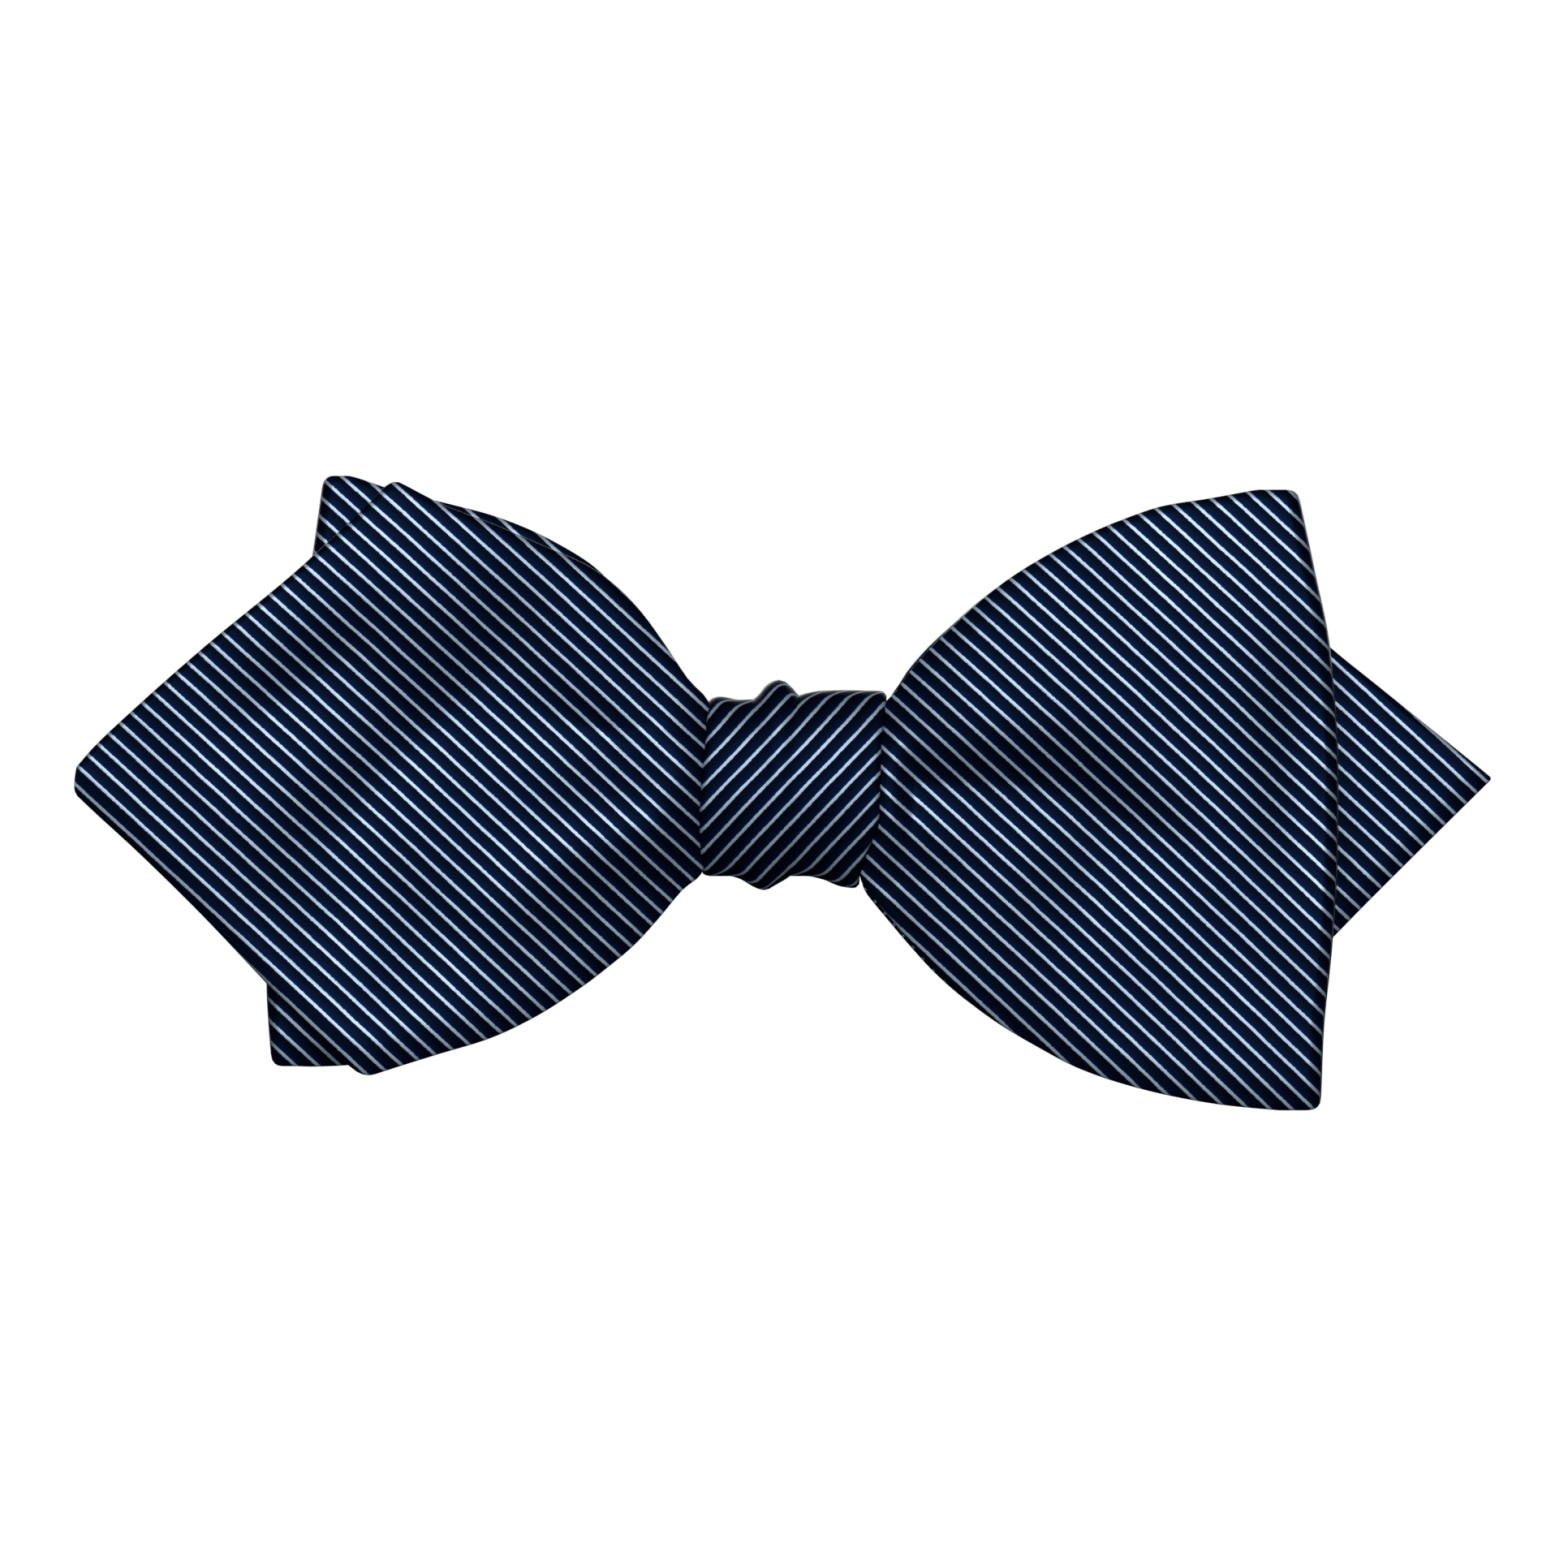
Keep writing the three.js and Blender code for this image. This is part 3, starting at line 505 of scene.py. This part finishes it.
    def stretches(self):
        """The strip from its hidden short end to its point, as stretches of cloth."""
        loop, leaf, side = self.loop, self.leaf, self.loop_side
        radius, nose = loop["fold_radius"], loop["fold_nose"]
        hidden_layer = loop["rear"] if self.leaf_in_front else loop["front"]
        flat_length = self.fold_at(0) - nose - knot_rim(0, side)

        def edge(share):
            """How far out the outer skin of the fold reaches."""
            return side * (self.fold_at(share) + cloth_thickness / 2)

        def way_round(angle):
            """The part of the way round the fold that doesn't show from the front."""
            return side * (radius + cloth_thickness / 2) * max(angle - math.pi / 4, 0)

        def on_front(t, share, x, z):
            """The place along the flat cloth, where the cloth faces the viewer."""
            slip = self.loop_slip if x * side > 0 else 0
            return x + along_curve(stripe_drift, 1, x) + stripe_bow * z * z - slip

        def on_rear(t, share, x, z):
            """The place along the flat cloth on its far side of the fold."""
            return on_front(t, share, edge(share), z) + way_round(math.pi) + edge(share) - x

        def on_turn(t, share, x, z):
            """The place along the flat cloth in the fold itself."""
            angle = math.pi * (1 - t if self.leaf_in_front else t)
            if angle < math.pi / 2:
                return on_front(t, share, x, z) + way_round(angle)
            return on_front(t, share, edge(share), z) + way_round(angle) + edge(share) - x

        def turn_at(t, share):
            """A point of the fold, in the order in which the strip runs through it."""
            return self.loop_turn(math.pi * (1 - t if self.leaf_in_front else t), share)

        tail = (tail_length, lambda t, share: self.waist(lerp(tail_share, 0, t), share, hidden_layer))
        middle = (2 * knot_half_width, lambda t, share: self.waist(t, share, leaf))
        point = (leaf["reach"] - knot_half_width, self.leaf_point)
        if self.leaf_in_front:
            return [
                Stretch(*tail, on_rear, 1),
                Stretch(flat_length, self.loop_rear, on_rear, 1),
                Stretch(radius * math.pi, turn_at, on_turn, 1),
                Stretch(flat_length, lambda t, share: self.loop_front(1 - t, share), on_front, 1),
                Stretch(*middle, on_front, 1),
                Stretch(*point, on_front, 1),
            ]
        return [
            Stretch(*tail, on_front, 1),
            Stretch(flat_length, self.loop_front, on_front, 1),
            Stretch(radius * math.pi, turn_at, on_turn, 1),
            Stretch(flat_length, lambda t, share: self.loop_rear(1 - t, share), on_rear, 1),
            Stretch(*middle, on_rear, 1),
            Stretch(*point, on_front, -1),
        ]


def across_shares(columns):
    """Where the columns of a strip lie from its lower edge to its upper edge, closer at the two edges."""
    close = [0, 0.002, 0.007, 0.018, 0.036]
    steps = columns - 2 * len(close) + 1
    inner = [lerp(close[-1], 2 - close[-1], j / steps) for j in range(1, steps)]
    return [s - 1 for s in close + inner + [2 - s for s in reversed(close)]]


def row_places(length, pitch):
    """Where the rows of a stretch lie, as shares of its length, closer at its ends by the knot."""
    close = [0, 0.1 * mm, 0.22 * mm, 0.4 * mm, 0.7 * mm]
    steps = max(2, round((length - 2 * close[-1]) / pitch))
    inner = [lerp(close[-1], length - close[-1], i / steps) for i in range(1, steps)]
    return [place / length for place in close + inner + [length - c for c in reversed(close)]]


def width_of_step(last, here):
    """What a step up the cloth counts on the flat cloth: its rise, or its length where cloth turns away."""
    rise, back = abs(here.z - last.z), abs(here.y - last.y)
    facing = rise / max(math.hypot(rise, back), 1e-9)
    return math.hypot(rise, back * (1 - ease((facing - 0.3) / 0.45)))


def finish_cloth(name, bm, fullness, thickness, edge_share):
    """The cloth as a piece with its thickness, down to the given share of it where the cloth isn't full."""
    mesh = bpy.data.meshes.new(name)
    bm.to_mesh(mesh)
    bm.free()
    piece = bpy.data.objects.new(name, mesh)
    bpy.context.collection.objects.link(piece)
    group = piece.vertex_groups.new(name="fullness")
    for index, weight in enumerate(fullness):
        group.add([index], weight, "REPLACE")
    lining = piece.modifiers.new("two_faces_and_interlining", "SOLIDIFY")
    lining.thickness = thickness
    lining.offset = 0
    lining.vertex_group = "fullness"
    lining.thickness_vertex_group = edge_share
    return piece


row_pitch = 0.6 * mm
bow_columns = 88


def sew_strip(name, strip, pitch, columns):
    """The strip's cloth as a fine grid of quads, with its place on the flat cloth as UVs, in metres."""
    shares = across_shares(columns)
    stretches = strip.stretches()
    rows = []
    for stretch in stretches:
        places = row_places(stretch.length, pitch)
        if rows:
            rows[-1].append((stretch, 0.0))
            places = places[1:]
        rows += [[(stretch, t)] for t in places]
    bm = bmesh.new()
    bmesh.ops.create_grid(bm, x_segments=len(rows) - 1, y_segments=columns - 1, size=1)
    seat = {}
    for v in bm.verts:
        row = round((v.co.x + 1) / 2 * (len(rows) - 1))
        column = round((v.co.y + 1) / 2 * (columns - 1))
        seat[v.index] = (row, column)
    fullness = []
    for v in bm.verts:
        row, column = seat[v.index]
        stretch, t = rows[row][0]
        share = shares[column]
        v.co = stretch.point_at(t, share)
        height = stretch.point_at(t, 1).z - stretch.point_at(t, -1).z
        fullness.append(rounded((1 - abs(share)) * height / 2, edge_rounding))
    bmesh.ops.recalc_face_normals(bm, faces=bm.faces)
    bm.normal_update()
    # The loop's outside faces the viewer on its front layer.
    front_stretch = 3 if strip.leaf_in_front else 1
    facing = sum(v.normal.y for v in bm.verts if rows[seat[v.index][0]][0][0] is stretches[front_stretch])
    outward = -1 if facing > 0 else 1

    def skin_point(v, side):
        """The point of the cloth's face over a point of its middle."""
        share = lerp(edge_fullness, 1, fullness[v.index])
        return v.co + v.normal * outward * side * share * cloth_thickness / 2

    bm.verts.ensure_lookup_table()
    at_place = {place: index for index, place in seat.items()}
    known_heights = {}

    def flat_heights(row, side):
        """How high the points of a row lie on the flat cloth, counted up and down from its middle."""
        if (row, side) not in known_heights:
            skin = [skin_point(bm.verts[at_place[row, column]], side) for column in range(columns)]
            heights = [point.z for point in skin]
            for way, last in ((1, columns - 1), (-1, 0)):
                for column in range(columns // 2 + way, last + way, way):
                    step = width_of_step(skin[column - way], skin[column])
                    heights[column] = heights[column - way] + way * step
            known_heights[row, side] = heights
        return known_heights[row, side]

    def flat_place(v, stretch, t):
        """A point's place on the flat cloth, along it and up it."""
        row, column = seat[v.index]
        skin = skin_point(v, stretch.face)
        return (stretch.place_at(t, shares[column], skin.x, skin.z), flat_heights(row, stretch.face)[column])

    uv = bm.loops.layers.uv.new("Cloth")
    for face in bm.faces:
        face.smooth = True
        first = min(seat[v.index][0] for v in face.verts)
        stretch = rows[first][-1][0]
        for loop in face.loops:
            t = next(t for owner, t in rows[seat[loop.vert.index][0]] if owner is stretch)
            loop[uv].uv = flat_place(loop.vert, stretch, t)
    return finish_cloth(name, bm, fullness, cloth_thickness, edge_fullness)


pale_thread = (0.58, 0.72, 0.88)
strand_length = 0.172 * mm


def striped_silk(name, lean, pitch, shift, slant=1, gloss=0.45, roughness=0.49):
    """Navy silk twill with fine pale stripes that fall by lean degrees along the flat cloth, with painted
    light and shade beside each stripe and painted shade between its floats.
    """
    silk = bpy.data.materials.new(name)
    silk.use_nodes = True
    nodes, links = silk.node_tree.nodes, silk.node_tree.links
    shader = nodes["Principled BSDF"]

    def feed(socket, value):
        if hasattr(value, "default_value"):
            links.new(value, socket)
        else:
            socket.default_value = value

    def reckon(operation, a, b=0.0, c=0.0):
        node = nodes.new("ShaderNodeMath")
        node.operation = operation
        for socket, value in zip(node.inputs, (a, b, c)):
            feed(socket, value)
        return node.outputs[0]

    def measure(direction):
        node = nodes.new("ShaderNodeVectorMath")
        node.operation = "DOT_PRODUCT"
        links.new(cloth.outputs["UV"], node.inputs[0])
        node.inputs[1].default_value = direction
        return node.outputs["Value"]

    def noise(scale, detail):
        node = nodes.new("ShaderNodeTexNoise")
        links.new(cloth.outputs["UV"], node.inputs["Vector"])
        node.inputs["Scale"].default_value = scale
        node.inputs["Detail"].default_value = detail
        return node.outputs["Fac"]

    cloth = nodes.new("ShaderNodeUVMap")
    cloth.uv_map = "Cloth"
    angle = math.radians(lean)
    across = measure((math.sin(angle), math.cos(angle), 0))
    along = measure((math.cos(angle), -math.sin(angle), 0))

    # The stripe threads wander a little and their edges are slightly ragged.
    wander = reckon("MULTIPLY", reckon("SUBTRACT", noise(300, 2), 0.5), 0.09 * mm)
    ragged = reckon("MULTIPLY", reckon("SUBTRACT", noise(3600, 1), 0.5), 0.12 * mm)
    drifted = reckon("ADD", across, reckon("ADD", wander, ragged))
    cycle = reckon("FRACT", reckon("MULTIPLY_ADD", drifted, 1 / pitch, shift + 0.5))

    # The ground's colours round each pale stripe carry painted light and shade: a painted highlight of
    # brighter blue just up-right of the stripe, where its raised edge catches the light from above, and a
    # painted shade of darkest navy just down-left of it.
    stripe_and_painted_light_ramp = nodes.new("ShaderNodeValToRGB")
    links.new(cycle, stripe_and_painted_light_ramp.inputs["Fac"])
    stops = [
        (0.0, (0.0022, 0.0052, 0.0165)),
        (0.2, (0.0017, 0.0044, 0.0140)),
        (0.33, (0.0010, 0.0040, 0.0150)),
        (0.38, (0.0020, 0.0070, 0.0270)),
        (0.425, pale_thread),
        (0.575, pale_thread),
        (0.62, (0.0030, 0.0170, 0.0800)),
        (0.68, (0.0016, 0.0105, 0.0500)),
        (0.84, (0.0018, 0.0070, 0.0270)),
    ]
    ramp = stripe_and_painted_light_ramp.color_ramp.elements
    while len(ramp) < len(stops):
        ramp.new(0.5)
    for element, (place, colour) in zip(ramp, stops):
        element.position = place
        element.color = (*colour, 1)

    # Each stripe is a row of short floats, laid like the strands of a rope; the grooves between the floats
    # are darkened with painted shade.
    strand = reckon("MULTIPLY_ADD", across, 0.32 * slant, along)
    strand_cycle = reckon("FRACT", reckon("MULTIPLY", strand, 1 / strand_length))
    strand_round = reckon("ABSOLUTE", reckon("MULTIPLY_ADD", strand_cycle, 2, -1))
    painted_groove_shade = reckon("MULTIPLY", reckon("POWER", strand_round, 2.0), 0.62)
    from_centre = reckon("ABSOLUTE", reckon("SUBTRACT", cycle, 0.5))
    on_stripe = reckon("LESS_THAN", from_centre, 0.12)
    # Painted shade: on the stripes the colour is multiplied darker in the grooves between the floats.
    darkened = nodes.new("ShaderNodeMix")
    darkened.data_type = "RGBA"
    darkened.blend_type = "MULTIPLY"
    links.new(reckon("MULTIPLY", painted_groove_shade, on_stripe), darkened.inputs["Factor"])
    links.new(stripe_and_painted_light_ramp.outputs["Color"], darkened.inputs[6])
    darkened.inputs[7].default_value = (0.25, 0.28, 0.36, 1)
    links.new(darkened.outputs[2], shader.inputs["Base Color"])

    # Threads stand up as fine ribs, and the stripe a little above the ground.
    stripe_height = reckon("SUBTRACT", 1, reckon("MINIMUM", reckon("MULTIPLY", from_centre, 6), 1))
    rib = reckon("MULTIPLY_ADD", strand_round, -0.35, stripe_height)
    relief = nodes.new("ShaderNodeBump")
    relief.inputs["Strength"].default_value = 0.35
    relief.inputs["Distance"].default_value = 0.04 * mm
    links.new(rib, relief.inputs["Height"])
    links.new(relief.outputs["Normal"], shader.inputs["Normal"])
    sheen_change = reckon("MULTIPLY_ADD", noise(160, 3), 0.1, roughness - 0.05)
    links.new(sheen_change, shader.inputs["Roughness"])
    shader.inputs["Metallic"].default_value = gloss
    shader.inputs["Specular IOR Level"].default_value = 0.02
    shader.inputs["Specular Tint"].default_value = (0.3, 0.3, 0.3, 1)
    return silk


stripe_pitch = 1.386 * mm
stripe_lean = 42.8
bow_silk = striped_silk("bow_silk", stripe_lean, stripe_pitch, shift=0.023)

front_strip = Strip(
    loop_side=1,
    leaf_in_front=True,
    fullness=5 * mm,
    loop={
        "reach": 49.8 * mm,
        "rise": 27.2 * mm,
        "fall": 29.9 * mm,
        "fold_radius": 3.2 * mm,
        "fold_nose": 0.8 * mm,
        "swell": front_loop_swell,
        "fold_line": front_fold_line,
        "folds": front_loop_folds,
        "gathers": 0.02 * mm,
        "front": {"depth": front_layer, "grip": front_grip, "depths": front_loop_front_depth, "tuck": 0},
        "rear": {"depth": middle_layer, "grip": inner_grip, "depths": front_loop_rear_depth, "tuck": 0.012},
    },
    leaf={
        "reach": 65.7 * mm,
        "rise": 28.5 * mm,
        "fall": 27.2 * mm,
        "diamond": front_diamond,
        "depths": front_leaf_depth,
        "folds": front_leaf_folds,
        "gathers": 0.02 * mm,
        "depth": front_layer,
        "grip": front_grip,
    },
)
front_bow = sew_strip("front_bow_silk", front_strip, row_pitch, bow_columns)
front_bow.data.materials.append(bow_silk)
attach(front_bow, "root")
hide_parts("front_bow")

# Rear bow: the other end of the tie, of the same silk, held by the knot too. Its loop lies behind the
# left-hand leaf and its point behind the right-hand loop, so only a corner, a sliver of edge and the point
# show from the front.
rear_diamond = [
    (0, 3, 3),
    (0.5, 1.038, 1.11),
    (0.741, 0.525, 0.576),
    (0.81, 0.3945, 0.415),
    (1, 0.035, -0.018),
]
rear_loop_swell = [
    (0, 0, 0),
    (0.01, 0.07, 0.09),
    (0.06, 0.14, 0.16),
    (0.12, 0.25, 0.238),
    (0.18, 0.38, 0.332),
    (0.25, 0.51, 0.446),
    (0.33, 0.623, 0.56),
    (0.42, 0.703, 0.674),
    (0.52, 0.773, 0.777),
    (0.63, 0.83, 0.87),
    (0.75, 0.874, 0.933),
    (0.87, 0.915, 0.974),
    (0.94, 0.943, 0.984),
    (1, 0.972, 0.987),
    (1.035, 0.987, 0.985),
]
rear_fold_line = [
    (-1, 1.014),
    (-0.7, 1.024),
    (0, 1.0),
    (0.73, 0.933),
    (1, 0.911),
]
rear_loop_front_depth = [
    (0, 0, 1),
    (0.2, 0.12, 1),
    (0.6, 0.1, 0.8),
    (1, -0.1, 0.1),
]
rear_loop_rear_depth = [
    (0, 0, 1),
    (0.04, -0.15, 1),
    (0.3, -0.5, 0.6),
    (0.7, -0.85, 0.4),
]
rear_leaf_depth = [
    (0, 0, 1),
    (0.03, -0.15, 1),
    (0.3, -0.5, 0.7),
    (0.6, -0.7, 0.6),
    (1, -0.55, 0.1),
]
rear_strip = Strip(
    loop_side=-1,
    leaf_in_front=False,
    loop_slip=0.2 * mm,
    fullness=5 * mm,
    loop={
        "reach": 46.8 * mm,
        "rise": 29.0 * mm,
        "fall": 26.3 * mm,
        "fold_radius": 3.0 * mm,
        "fold_nose": 0.5 * mm,
        "swell": rear_loop_swell,
        "fold_line": rear_fold_line,
        "folds": [],
        "gathers": 0,
        "front": {"depth": middle_layer, "grip": inner_grip, "depths": rear_loop_front_depth, "tuck": 0},
        "rear": {"depth": rear_layer, "grip": inner_grip, "depths": rear_loop_rear_depth, "tuck": 0.012},
    },
    leaf={
        "reach": 65.1 * mm,
        "rise": 24.0 * mm,
        "fall": 25.6 * mm,
        "diamond": rear_diamond,
        "depths": rear_leaf_depth,
        "folds": [],
        "gathers": 0,
        "depth": rear_layer,
        "grip": inner_grip,
    },
)
rear_bow = sew_strip("rear_bow_silk", rear_strip, row_pitch, bow_columns)
rear_bow.data.materials.append(striped_silk("rear_bow_silk", stripe_lean, stripe_pitch, shift=0.103))
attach(rear_bow, "root")
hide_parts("rear_bow")

# Knot: the middle of the tie, the same silk wrapped once round both bows and the neckband and drawn tight.
# Its stripes run the other way, and a soft pinch from top to bottom stands a little to the left of its
# middle.
knot_upper_roundness = 2.9
knot_lower_roundness = 1.9
knot_rear_roundness = 10
knot_side_rounding = 0.9 * mm
knot_rim_rounding = 0.7 * mm
wrap_edge_fullness = 0.3
pinch_height = 0.3 * mm
pinch_place = -0.14
pinch_lean = 0.06
pinch_width = 0.13
smooth_place = 0.6
neck_half_width = 55 * mm
neck_roundness = 2.2


def band_setback(x):
    """How far the neckband's middle line lies behind its foremost point, at a distance to the side."""
    share = min(abs(x) / neck_half_width, 1)
    return neck_half_depth * (1 - (1 - share**neck_roundness) ** (1 / neck_roundness))


rim_setback = band_setback(knot_half_width * knot_rims[-1][2])
cavity_front = front_layer - cloth_thickness / 2 - piece_gap
cavity_rear = -neck_half_depth + rim_setback + neckband_thickness / 2 + piece_gap
cavity_middle = (cavity_front + cavity_rear) / 2
cavity_half_depth = (cavity_rear - cavity_front) / 2


def signed_power(value, power):
    """A power of a number's size, with the number's own sign."""
    return math.copysign(abs(value) ** power, value)


def wrap_point(across, turn, offset):
    """A point of the knot's cloth: across it from rim to rim, and turned round it from the front."""
    front = math.cos(turn) > 0
    front_roundness = knot_upper_roundness if math.sin(turn) > 0 else knot_lower_roundness
    squareness = 2 / (front_roundness if front else knot_rear_roundness)
    outline = knot_half_height * along_curve(knot_outline, 1 if math.sin(turn) > 0 else 2, across)
    z = signed_power(math.sin(turn), squareness) * (outline - wrap_thickness + offset)
    rolled = knot_side_rounding * abs(across) ** 4 * (offset / wrap_thickness) if front else 0
    depth = cavity_half_depth + offset - rolled
    y = cavity_middle - signed_power(math.cos(turn), squareness) * depth
    level = min(max(z / knot_half_height, -1), 1)
    left = along_curve(knot_rims, 1, level) * knot_half_width
    right = along_curve(knot_rims, 2, level) * knot_half_width
    aside = (across - pinch_place + pinch_lean * level) / pinch_width
    ridge = pinch_height * math.exp(-(aside**2)) if front else 0
    return Vector((lerp(left, right, (across + 1) / 2), y - ridge * abs(math.cos(turn)), z))


def knot_fullness(point):
    """How full the knot's cloth is at a point: it thins out towards both rims."""
    level = min(max(point.z / knot_half_height, -1), 1)
    left = along_curve(knot_rims, 1, level) * knot_half_width
    right = along_curve(knot_rims, 2, level) * knot_half_width
    return rounded(min(point.x - left, right - point.x), knot_rim_rounding)


def wind_knot(name, columns, sides):
    """The knot's cloth, wound once round as a grid of quads, with its place on the flat cloth as UVs."""
    bm = bmesh.new()
    bmesh.ops.create_grid(bm, x_segments=columns, y_segments=sides, size=1)
    # The seam of the wrap lies at the back. The cloth's place follows its outline round, but on the front
    # it is counted straight up, as the tightly drawn silk there keeps its stripes straight.
    shares = {}
    for v in bm.verts:
        turn = v.co.y * math.pi
        shares[v.index] = (v.co.x, turn)
        v.co = wrap_point(v.co.x, turn, wrap_thickness / 2)
    bmesh.ops.recalc_face_normals(bm, faces=bm.faces)
    bm.normal_update()
    facing = sum(v.normal.y for v in bm.verts if abs(shares[v.index][1]) < math.pi / 4)
    outward = -1 if facing > 0 else 1

    def climb(across, way):
        """How high each step round the knot lies on the flat cloth, upwards for 1 or downwards for -1."""
        last = wrap_point(across, 0, wrap_thickness)
        heights = [last.z]
        for k in range(1, sides // 2 + 1):
            here = wrap_point(across, way * 2 * math.pi * k / sides, wrap_thickness)
            heights.append(heights[-1] + way * width_of_step(last, here))
            last = here
        return heights

    def skin_x(v):
        """How far to the side the cloth's outer face lies over a point of its middle."""
        share = lerp(wrap_edge_fullness, 1, knot_fullness(v.co))
        return v.co.x + outward * v.normal.x * share * wrap_thickness / 2

    # At the back the stripes are straight again, so each column ends level with one on the smooth right.
    heights = {}
    level_end = {way: climb(smooth_place, way)[-1] for way in (1, -1)}
    uv = bm.loops.layers.uv.new("Cloth")
    for face in bm.faces:
        face.smooth = True
        for loop in face.loops:
            across, turn = shares[loop.vert.index]
            way = 1 if turn >= 0 else -1
            column = (round((across + 1) / 2 * columns), way)
            if column not in heights:
                heights[column] = climb(across, way)
            wound = heights[column]
            step = round(abs(turn) / (2 * math.pi) * sides)
            levelled = ease((abs(turn) / math.pi - 0.5) / 0.2) * (level_end[way] - wound[-1])
            loop[uv].uv = (skin_x(loop.vert), wound[step] + levelled)
    bmesh.ops.remove_doubles(bm, verts=bm.verts, dist=1e-6)
    bmesh.ops.recalc_face_normals(bm, faces=bm.faces)
    return finish_cloth(name, bm, [knot_fullness(v.co) for v in bm.verts], wrap_thickness, wrap_edge_fullness)


knot_lean = -47
knot_pitch = 1.382 * mm
knot = wind_knot("knot_silk", columns=56, sides=160)
knot_silk = striped_silk(
    "knot_silk", knot_lean, knot_pitch, shift=-0.245, slant=-1, gloss=0.6, roughness=0.59
)
knot.data.materials.append(knot_silk)
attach(knot, "root")
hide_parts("knot")

# Neckband: a flat tube of the same silk that goes round the neck under a collar. The knot grips it and
# draws it a little narrower.
neckband_height = 15.5 * mm
band_grip = 0.84
band_edge_fullness = 0.3
grip_end = 1.4
grip_release = 2


def oval_point(angle):
    """A point of the oval round the neck, at an angle from its middle in front."""
    power = 2 / neck_roundness
    return Vector((neck_half_width * signed_power(math.sin(angle), power),
                   -neck_half_depth * signed_power(math.cos(angle), power)))


def sew_neckband(name, sides, columns):
    """The neckband's cloth as a closed ring of quads, with its place on the flat cloth as UVs."""
    shares = across_shares(columns + 1)
    bm = bmesh.new()
    bmesh.ops.create_grid(bm, x_segments=sides, y_segments=columns, size=1)
    run = [0.0]
    for k in range(1, sides + 1):
        here = oval_point(math.pi * (2 * k / sides - 1))
        last = oval_point(math.pi * (2 * (k - 1) / sides - 1))
        run.append(run[-1] + (here - last).length)
    place = {}
    fullness = bm.verts.layers.float.new("edge")
    for v in bm.verts:
        i, j = round((v.co.x + 1) / 2 * sides), round((v.co.y + 1) / 2 * columns)
        ring = oval_point(math.pi * (2 * i / sides - 1))
        away = abs(ring.x) / knot_half_width if ring.y < 0 else 100
        widened = ease((away - grip_end) / grip_release)
        share = shares[j]
        half = lerp(band_grip * (opening_rise if share > 0 else opening_fall), neckband_height / 2, widened)
        v.co = (ring.x, ring.y, share * half)
        place[v.index] = (run[i] - run[sides // 2], v.co.z)
        v[fullness] = rounded((1 - abs(share)) * half, edge_rounding)
    uv = bm.loops.layers.uv.new("Cloth")
    for face in bm.faces:
        face.smooth = True
        for loop in face.loops:
            loop[uv].uv = place[loop.vert.index]
    bmesh.ops.remove_doubles(bm, verts=bm.verts, dist=1e-6)
    bmesh.ops.recalc_face_normals(bm, faces=bm.faces)
    weights = [v[fullness] for v in bm.verts]
    return finish_cloth(name, bm, weights, neckband_thickness, band_edge_fullness)


neckband = sew_neckband("neckband_silk", sides=480, columns=26)
neckband.data.materials.append(striped_silk("neckband_silk", stripe_lean, stripe_pitch, shift=0.2))
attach(neckband, "root")
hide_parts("neckband")
